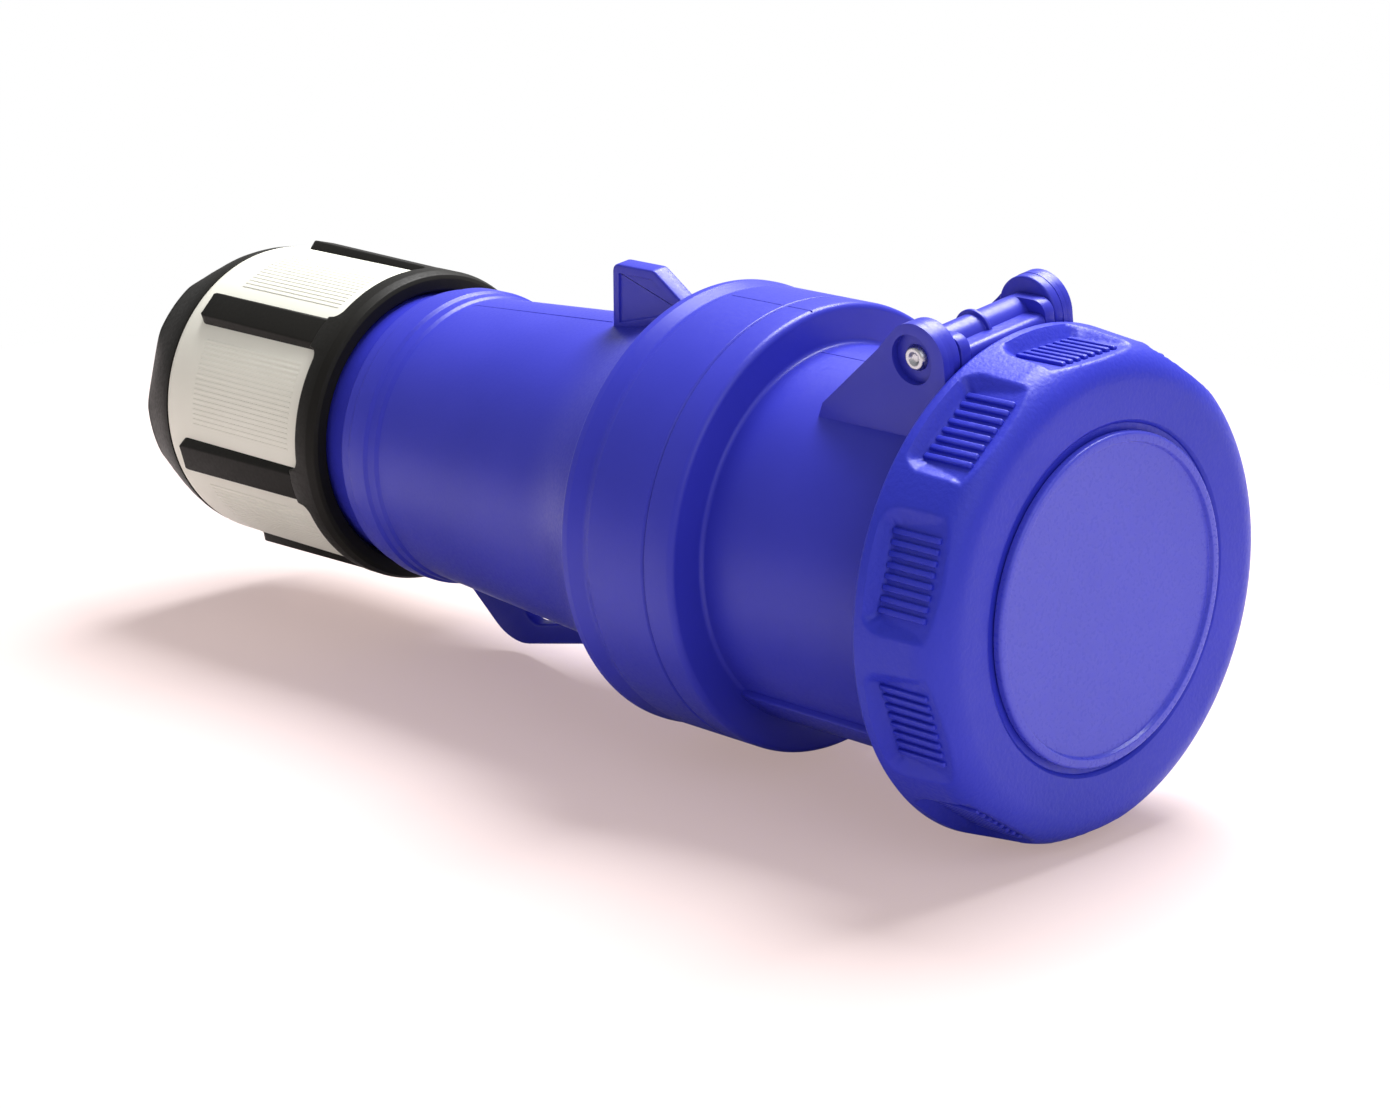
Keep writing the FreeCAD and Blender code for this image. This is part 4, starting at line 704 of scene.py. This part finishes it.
@dataclass
class BayonetRing(Piece):
    """Bayonet ring: rounded front, ten sunk grip pads with ridges, and two hooks inside."""

    name: str = "ring_moulding"
    node: str = "bayonet_ring"
    body: Body = Body.RING
    finish: Finish = Finish.coarse_plastic
    back: float = 274.4
    front: float = 296.4
    outside: float = 56.0
    front_radius: float = 54.6
    front_round: float = 8.3
    back_round: float = 0.9
    flank_back: float = 1.2
    flank_steps: int = 26
    flank_step: float = 0.5
    bore: float = 47.0
    bore_wall: float = 2.0
    pad_count: int = 10
    pad_turn: float = 5.0
    pad_floor: float = 52.0
    pad_half: float = 13.2
    pad_back: float = 277.2
    pad_corner: float = 4.0
    end_slope: float = 0.85
    side_slope: float = 1.6
    grip_count: int = 8
    grip_pitch: float = 2.35
    grip_width: float = 1.25
    grip_height: float = 0.8
    grip_back: float = 279.0
    grip_length: float = 12.8
    grip_root: float = 0.4
    grip_soft: float = 0.28
    hook_half_angle: float = 15.0
    hook_angles: tuple[float, float] = (58.0, -86.0)

    def sunk(self, station: float, radius: float, angle: float) -> Point:
        """Sink the grip pads in the ring's outside."""
        if radius < self.bore + self.bore_wall or not self.pad_back < station < self.front:
            return station, radius
        pitch = 360 / self.pad_count
        turn = math.radians((angle - self.pad_turn + pitch / 2) % pitch - pitch / 2)
        ends = self.pad_half - abs(radius * math.sin(turn))
        sides = station - self.pad_back
        corner = self.pad_corner
        if ends < corner and sides < corner:
            reach = corner - math.hypot(corner - ends, corner - sides)
            share = min(max(reach, 0.0) / max(min(ends, sides), 0.001), 1.0)
            ends, sides = ends * share, sides * share
        depth = max(min(ends * self.end_slope, sides * self.side_slope), 0.0)
        floor = self.pad_floor / math.cos(turn)
        return station, max(min(radius, floor), radius - depth)

    def tyre(self, form: Form) -> None:
        """Turn the ring and sink the pads."""
        back, front, outside = self.back, self.front, self.outside
        curve, edge = self.front_round, self.back_round
        lip = self.front_radius - curve
        slope = (self.front_radius - outside) / (front - curve - back - edge)
        first = back + self.flank_back
        stations = [first + self.flank_step * step for step in range(self.flank_steps)]
        flank = [(station, outside + slope * (station - back - edge), 0.0) for station in stations]
        form.turned([
            (back, self.bore, 0.5), (back, outside - edge, 0), (back + 0.3, outside - 0.3, 0),
            (back + edge, outside, 0), *flank, *arc((front - curve, lip), curve, 90, 3, 22),
            (front, lip - 0.4, 0), (front - 0.2, 38.6, 0.4), (front - 0.8, 37.9, 0.5),
            (295.3, 37.8, 0.2), (295.3, 33.3, 0.2), (293.9, 33.3, 0.2), (293.9, self.bore, 0.3),
        ], 640, press=self.sunk)

    def grips(self, form: Form) -> None:
        """Raise the ridges in the pads."""
        low, high = self.pad_floor - self.grip_root, self.pad_floor + self.grip_height
        back, front = self.grip_back, self.grip_back + self.grip_length
        outline = rounded(
            [(back, low, 0), (back, high, 0.5), (front, high, 1.2), (front, low, 0)], 3)
        places = round_axis(self.pad_turn, self.pad_count)
        half = self.grip_width / 2
        for number in range(self.grip_count):
            middle = (number - (self.grip_count - 1) / 2) * self.grip_pitch
            form.plate([outline], middle - half, middle + half, self.grip_soft, places)

    def hooks(self, form: Form) -> None:
        """Add the two hooks that pass behind the lugs."""
        for middle in self.hook_angles:
            form.sector(
                [(275.4, 44.4, 0.3), (275.4, 47.5, 0), (279.4, 47.5, 0), (279.4, 44.4, 0.3)],
                middle, self.hook_half_angle, 0.3)

    def shape(self, form: Form) -> None:
        """Build the ring's mesh."""
        self.tyre(form)
        self.grips(form)
        self.hooks(form)


@dataclass
class LidDisc(Piece):
    """Round outer plate of the lid, with a raised rim and a flat sunk middle."""

    name: str = "lid_plate"
    node: str = "lid_disc"
    body: Body = Body.LID
    finish: Finish = Finish.lid_plastic
    slot: str = "lid_plastic"
    radius: float = 36.3
    face: float = 297.6
    rim: float = 2.1
    sink: float = 1.0

    def shape(self, form: Form) -> None:
        """Turn the plate."""
        middle = self.face - self.sink
        form.turned([
            (293.6, 0.0, 0), (293.6, 33.0, 0.2), (295.6, 33.0, 0.2), (295.6, self.radius, 0.3),
            (self.face, self.radius, 0.7), (self.face, self.radius - self.rim, 0.25),
            (middle, self.radius - self.rim - 0.4, 0.25), (middle, 0.0, 0),
        ], 288)


@dataclass
class GlandShell(Piece):
    """Pale shell of the gland nut, domed towards the cable, with fine raised lines in panels."""

    name: str = "nut_shell"
    node: str = "gland_nut"
    body: Body = Body.NUT
    finish: Finish = Finish.shell_plastic
    slot: str = "shell_plastic"
    radius: float = 38.0
    bore: float = 34.4
    panel_turn: float = -7.5
    panel_count: int = 6
    line_count: int = 18
    line_pitch: float = 1.3
    line_width: float = 0.8
    line_height: float = 0.13
    line_back: float = 26.5
    line_front: float = 66.5
    line_root: float = 0.3
    line_slope: float = 0.6
    line_soft: float = 0.18

    def lines(self, form: Form) -> None:
        """Raise the lines, as bars that lie half in the shell."""
        back, front, slope = self.line_back, self.line_front, self.line_slope
        low, high = self.radius - self.line_root, self.radius + self.line_height
        outline = [(back, low), (back + slope, high), (front - slope, high), (front, low)]
        pitch = math.degrees(self.line_pitch / self.radius)
        places = []
        for panel in range(self.panel_count):
            middle = self.panel_turn + panel * 360 / self.panel_count
            for number in range(self.line_count):
                places.append(about_axis(middle + (number - (self.line_count - 1) / 2) * pitch))
        half = self.line_width / 2
        form.plate([outline], -half, half, self.line_soft, places)

    def shape(self, form: Form) -> None:
        """Turn the shell and raise the lines on it."""
        form.turned([
            (3.05, 22.4, 0.3), (3.05, 30.1, 0), (15.6, 35.0, 0), (15.65, self.radius - 0.5, 0.3),
            (17.2, self.radius - 0.05, 3.0), (22.0, self.radius, 0), (70.4, self.radius, 0.2),
            (70.4, 36.5, 0), (76.6, 36.5, 0), (76.6, self.bore, 0.2), (18.0, self.bore, 0.5),
            (5.6, 27.0, 0.5), (5.6, 22.4, 0.3),
        ], 256)
        self.lines(form)


@dataclass
class NutGrip(Piece):
    """Black band of the nut with its lip, and six ribs that run back from it."""

    name: str = "nut_band"
    node: str = "nut_grip"
    body: Body = Body.NUT
    finish: Finish = Finish.grip_rubber
    slot: str = "grip_rubber"
    radius: float = 39.6
    lip: float = 38.4
    rib_count: int = 6
    rib_turn: float = 22.5
    rib_half: float = 4.9
    rib_top_half: float = 3.5
    rib_back: float = 21.3
    rib_front: float = 74.8
    rib_foot: float = 37.3
    rib_radius: float = 40.2
    rib_fall: float = 0.9
    rib_lean: float = 1.3
    rib_lean_over: float = 6.0
    rib_round: float = 2.6
    corner: float = 3.4
    corner_reach: float = 72.0
    corner_floor: float = 38.05
    corner_overlap: float = 0.4

    def widened(self, station: float, radius: float, angle: float) -> Point:
        """Round the panels' corners: the band's back edge runs out along the ribs."""
        step = 360 / self.rib_count
        if station > self.corner_reach or radius < self.corner_floor:
            return station, radius
        turn = (angle - self.rib_turn + step / 2) % step - step / 2
        away = radius * math.radians(abs(turn)) - self.rib_half + self.corner_overlap
        room = min(max(self.corner - away, 0.0), self.corner)
        return station - self.corner + math.sqrt(self.corner ** 2 - room ** 2), radius

    def band(self, form: Form) -> None:
        """Turn the band."""
        form.turned([
            (70.5, 36.5, 0), (70.5, 38.03, 0), (70.5, 38.1, 0), (70.55, 38.9, 0), (70.9, 39.4, 0),
            (71.5, self.radius, 0), (75.3, self.radius, 1.4), (77.4, self.lip + 0.4, 0.6),
            (77.9, self.lip - 0.6, 0.5), (77.9, 35.2, 0.5), (77.0, 34.4, 0.4), (76.75, 34.4, 0),
            (76.75, 36.5, 0),
        ], 720, press=self.widened)

    def ribs(self, form: Form) -> None:
        """Raise the ribs: wide at the foot, rounded at the back, sloped down into the band."""
        part = bmesh.new()
        half, back, front, curve = self.rib_half, self.rib_back, self.rib_front, self.rib_round
        outline = rounded([
            (back, -half, curve), (back, half, curve), (front, half, 0), (front, -half, 0)], 5)
        edges = part_loop(part, outline, self.rib_foot)[1]
        faces = bmesh.ops.contextual_create(part, geom=edges)["faces"]
        raised = bmesh.ops.extrude_face_region(part, geom=faces, use_keep_orig=True)["geom"]
        share = self.rib_top_half / half
        for vert in (item for item in raised if isinstance(item, bmesh.types.BMVert)):
            station = vert.co.x / MM
            away = station - back
            if away < self.rib_lean_over:
                leant = back + self.rib_lean * (1 - away / self.rib_lean_over)
                vert.co.x = max(station, leant) * MM
            vert.co.y = (self.rib_radius - self.rib_fall * away / (front - back)) * MM
            vert.co.z *= share
        soften(part, 0.5)
        upright = Matrix.Rotation(math.radians(90), 4, "X")
        form.add(part, [place @ upright for place in round_axis(self.rib_turn, self.rib_count)])

    def shape(self, form: Form) -> None:
        """Build the band's mesh."""
        self.band(form)
        self.ribs(form)


@dataclass
class NutEndCap(Piece):
    """Black end cap of the nut: six soft flats that run out into a round front edge."""

    name: str = "nut_cap"
    node: str = "nut_end_cap"
    body: Body = Body.NUT
    finish: Finish = Finish.grip_rubber
    slot: str = "grip_rubber"
    mouth: float = 22.0
    flat_count: int = 6
    flat_turn: float = -7.5
    flat: float = 31.4
    flat_slope: float = 0.56
    core: float = 30.6
    core_slope: float = 0.39
    core_back: float = 2.95
    edge_width: float = 0.6
    edge_depth: float = 0.4

    def flattened(self, station: float, radius: float, angle: float) -> Point:
        """Press the six flats into the turned cap."""
        if radius < self.core + self.core_slope * max(station - self.core_back, 0.0):
            return station, radius
        step = 360 / self.flat_count
        turn = math.radians((angle - self.flat_turn + step / 2) % step - step / 2)
        flat = (self.flat + station * self.flat_slope) / math.cos(turn)
        soft = max(0.0, self.edge_width - abs(flat - radius)) ** 2 * self.edge_depth
        return station, min(radius, flat) - soft

    def shape(self, form: Form) -> None:
        """Turn the cap and press its flats."""
        form.turned([
            (0.0, self.mouth, 0.5), (0.0, 33.0, 3.2), (2.0, 33.5, 3.0), (5.0, 34.6, 0),
            (8.0, 35.7, 0), (11.0, 36.7, 0), (13.5, 37.4, 0), (15.55, 37.75, 0.2),
            (15.55, 35.05, 0), (2.95, 30.2, 0), (2.95, self.mouth, 0.3),
        ], 360, press=self.flattened)


@dataclass
class HingePin(Piece):
    """Hinge pin with a turned, dimpled rivet head at each end."""

    name: str = "pin_rivet"
    node: str = "hinge_pin"
    finish: Finish = Finish.steel
    slot: str = "steel"
    x: float = 265.0
    z: float = 54.7
    radius: float = 2.0
    head: float = 2.9
    head_from: float = 18.9
    head_to: float = 20.1

    def shape(self, form: Form) -> None:
        """Turn the pin about its own axis."""
        end = [
            (self.head_from, self.radius, 0), (self.head_from, self.head, 0.1),
            (self.head_from + 0.2, self.head, 0.3), (self.head_to, self.head - 0.6, 0.5),
            (self.head_to, 1.5, 0.4), (self.head_to - 0.7, 0.9, 0.3), (self.head_to - 0.9, 0.0, 0),
        ]
        other_end = [(-station, radius, curve) for station, radius, curve in reversed(end)]
        form.turned(other_end + end, 64, along_pin(self.x, self.z))


@dataclass
class LidCap(Piece):
    """Inner plate of the lid, with its arm, web, cheeks and the knuckle round the hinge pin."""

    name: str = "lid_inner"
    node: str = "lid_cap"
    body: Body = Body.LID
    x: float = 265.0
    z: float = 54.7
    knuckle: float = 4.3
    knuckle_half: float = 14.9
    room: float = 3.5
    room_half: float = 8.5
    hole: float = 2.05
    collar: float = 5.2
    arm_inside: float = 43.3
    arm_outside: float = 46.2
    arm_half: float = 12.0
    web_back: float = 268.0
    web_front: float = 273.8
    web_low: float = 43.9
    web_rise: float = 1.5
    cheek: float = 2.9

    def plate(self, form: Form) -> None:
        """Turn the inner plate with the rims beside its seal."""
        form.turned([
            (291.2, 0.0, 0), (291.2, 35.0, 0.2), (289.6, 35.6, 0.3), (289.6, 37.95, 0.2),
            (291.2, 37.95, 0), (291.2, 44.45, 0), (289.6, 44.45, 0.2),
            (289.6, self.arm_outside, 0.3), (293.6, self.arm_outside, 0.3), (293.6, 0.0, 0),
        ], 192)

    def arm(self, form: Form) -> None:
        """Add the arm over the barrel and the web up to the knuckle."""
        turn = math.degrees(math.asin(self.arm_half / self.arm_inside))
        low, high = self.arm_inside, self.arm_outside
        form.sector([
            (266.0, low, 0), (266.0, high, 0), (289.7, high, 0), (289.7, 44.5, 0),
            (288.5, 44.5, 0), (288.5, low, 0),
        ], 0.0, turn, 0.3)
        back, front, foot, top = self.web_back, self.web_front, self.web_low, self.z + self.web_rise
        web = rounded([(back, foot, 0), (front, foot, 0), (front, top, 1.6), (back, top, 0)])
        form.plate([web], -self.arm_half, self.arm_half, 0.3)

    def hinge(self, form: Form) -> None:
        """Turn the knuckle and its collar, and cut the cheeks."""
        half, outside = self.knuckle_half, self.knuckle
        form.turned([
            (-half, self.hole, 0), (-half, outside, 0.3), (0.5, outside, 0.2),
            (0.5, self.collar, 0.3), (1.5, self.collar, 0.3), (1.5, outside, 0.2),
            (half, outside, 0.3), (half, self.hole, 0), (self.room_half, self.hole, 0),
            (self.room_half, self.room, 0), (-self.room_half, self.room, 0),
            (-self.room_half, self.hole, 0),
        ], 96, along_pin(self.x, self.z, flip=True))
        hole = circle((self.x, self.z), self.hole, 24)
        outline = rounded([
            *arc((self.x, self.z), outside, 90, 270, 16), (self.x + 1.0, self.web_low, 0),
            (self.web_front, self.web_low, 0), (self.web_front, self.z + outside, 3.2),
        ])
        for side in (-1, 1):
            form.plate([outline, hole], side * (half - self.cheek), side * half, 0.35)

    def shape(self, form: Form) -> None:
        """Build the inner plate's mesh."""
        self.plate(form)
        self.arm(form)
        self.hinge(form)


# The studio


@dataclass(frozen=True)
class Lamp:
    """Square soft lamp, with its place and side in metres and its power in watts."""

    name: str
    place: Place
    size: float
    power: float

    def hang(self, aim: Place) -> None:
        """Hang the lamp so that it faces a place."""
        data = bpy.data.lights.new(self.name, "AREA")
        data.shape = "SQUARE"
        data.size = self.size
        data.energy = self.power
        lamp = bpy.data.objects.new(self.name, data)
        turn = (Vector(aim) - Vector(self.place)).to_track_quat("-Z", "Y").to_matrix().to_4x4()
        lamp.matrix_world = Matrix.Translation(Vector(self.place)) @ turn
        bpy.context.scene.collection.objects.link(lamp)


@dataclass
class Studio:
    """Pale floor, soft lamps and the camera of the photograph."""

    eye: Vector = field(default_factory=lambda: Vector((0.7401, -0.5208, 0.2857)))
    right: Vector = field(default_factory=lambda: Vector((0.6999, 0.7067, -0.1036)))
    up: Vector = field(default_factory=lambda: Vector((-0.1919, 0.3257, 0.9258)))
    lens: float = 90.65
    floor_up: Vector = field(default_factory=lambda: Vector((0.0, 0.145, 0.9894)))
    floor_touch: Vector = field(default_factory=lambda: Vector((0.285, -0.0081, -0.0554)))
    floor_half: float = 6.0
    paper_colour: Colour = (0.68, 0.6, 0.59)
    paper_roughness: float = 0.9
    paper_middle: Place = (0.1, 0.0, 0.0)
    # Painted shadow tone: a warm glow near the coupler and its least share, seen by the camera
    # only, lighten and warm the cast shadow.
    near_white: Colour = (1.0, 0.76, 0.73)
    white_from: float = 0.24
    white_at: float = 0.42
    least_white: float = 0.4
    sky: float = 0.46
    aim: Place = (0.2, 0.0, 0.0)
    lamps: tuple[Lamp, ...] = (
        Lamp("top_back", (0.05, 0.8, 1.1), 0.8, 46.0),
        Lamp("front_fill", (1.2, -0.2, 0.7), 0.9, 4.0),
    )

    def camera(self) -> None:
        """Make the camera of the photograph, as it was fitted to the coupler's round edges."""
        data = bpy.data.cameras.new("photo_camera")
        data.sensor_width = 36.0
        data.lens = self.lens
        data.clip_end = 50.0
        camera = bpy.data.objects.new("photo_camera", data)
        back = self.right.cross(self.up)
        turn = Matrix((self.right, self.up, back)).transposed().to_4x4()
        camera.matrix_world = Matrix.Translation(self.eye) @ turn
        bpy.context.scene.collection.objects.link(camera)
        bpy.context.scene.camera = camera

    def floor(self) -> None:
        """Make a wide pale floor under the coupler."""
        form = bmesh.new()
        bmesh.ops.create_grid(form, x_segments=1, y_segments=1, size=self.floor_half)
        lean = Vector((0, 0, 1)).rotation_difference(self.floor_up).to_matrix().to_4x4()
        place = Matrix.Translation(self.floor_touch) @ lean
        bmesh.ops.transform(form, matrix=place, verts=form.verts)
        mesh = bpy.data.meshes.new("floor")
        form.to_mesh(mesh)
        form.free()
        floor = bpy.data.objects.new("floor", mesh)
        bpy.context.scene.collection.objects.link(floor)
        mesh.materials.append(self.paper())

    def paper(self) -> bpy.types.Material:
        """Warm white paper, plain white for the camera far off; near the coupler a glow paints the
        shadow lighter and warm.
        """
        shader = Shader("floor_paper")
        shader.surface.inputs["Base Color"].default_value = (*self.paper_colour, 1.0)
        shader.surface.inputs["Roughness"].default_value = self.paper_roughness
        away = shader.node(
            "ShaderNodeVectorMath", {0: shader.place, 1: self.paper_middle}, operation="DISTANCE")
        limits = {
            "Value": away.outputs["Value"], "From Min": self.white_from, "From Max": self.white_at}
        share = shader.node("ShaderNodeMapRange", limits).outputs["Result"]
        colour = shader.mix(share, self.near_white, (1.0, 1.0, 1.0))
        # Painted shadow: near the coupler the camera sees at least this share of warm glow, which
        # makes the cast shadow lighter and warm.
        share = shader.combined("MAXIMUM", share, self.least_white)
        seen = shader.node("ShaderNodeLightPath").outputs["Is Camera Ray"]
        share = shader.combined("MULTIPLY", share, seen)
        white = shader.node("ShaderNodeEmission", {"Color": colour, "Strength": 1.0})
        blend = shader.node(
            "ShaderNodeMixShader", {0: share, 1: shader.surface.outputs[0], 2: white.outputs[0]})
        surface = shader.tree.nodes["Material Output"].inputs["Surface"]
        shader.tree.links.new(blend.outputs[0], surface)
        return shader.material

    def lights(self) -> None:
        """Set the lamps and the white surroundings."""
        world = bpy.data.worlds.new("studio")
        bpy.context.scene.world = world
        world.use_nodes = True
        background = world.node_tree.nodes["Background"]
        background.inputs["Color"].default_value = (1.0, 1.0, 1.0, 1.0)
        background.inputs["Strength"].default_value = self.sky
        for lamp in self.lamps:
            lamp.hang(self.aim)

    def build(self) -> None:
        """Make everything round the coupler."""
        self.camera()
        self.floor()
        self.lights()
        bpy.context.scene.view_settings.view_transform = "Standard"


def dress(frame: dict) -> None:
    """Give every node of the frame its material."""
    for row in frame["record"]["subparts"]:
        node = frame["nodes"][row["node"]]
        node.data.materials.clear()
        node.data.materials.append(Finish[row["material_slot"]].material)


def main() -> None:
    """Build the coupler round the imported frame."""
    logging.basicConfig(level=logging.INFO, format="%(name)s: %(message)s")
    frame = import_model()
    dress(frame)
    pieces = (
        RearHousing(), FrontHousing(), BayonetRing(), LidDisc(), LidCap(), HingePin(),
        GlandShell(), NutGrip(), NutEndCap(),
    )
    for piece in pieces:
        piece.build()
    Studio().build()


if __name__ == "__main__":
    main()
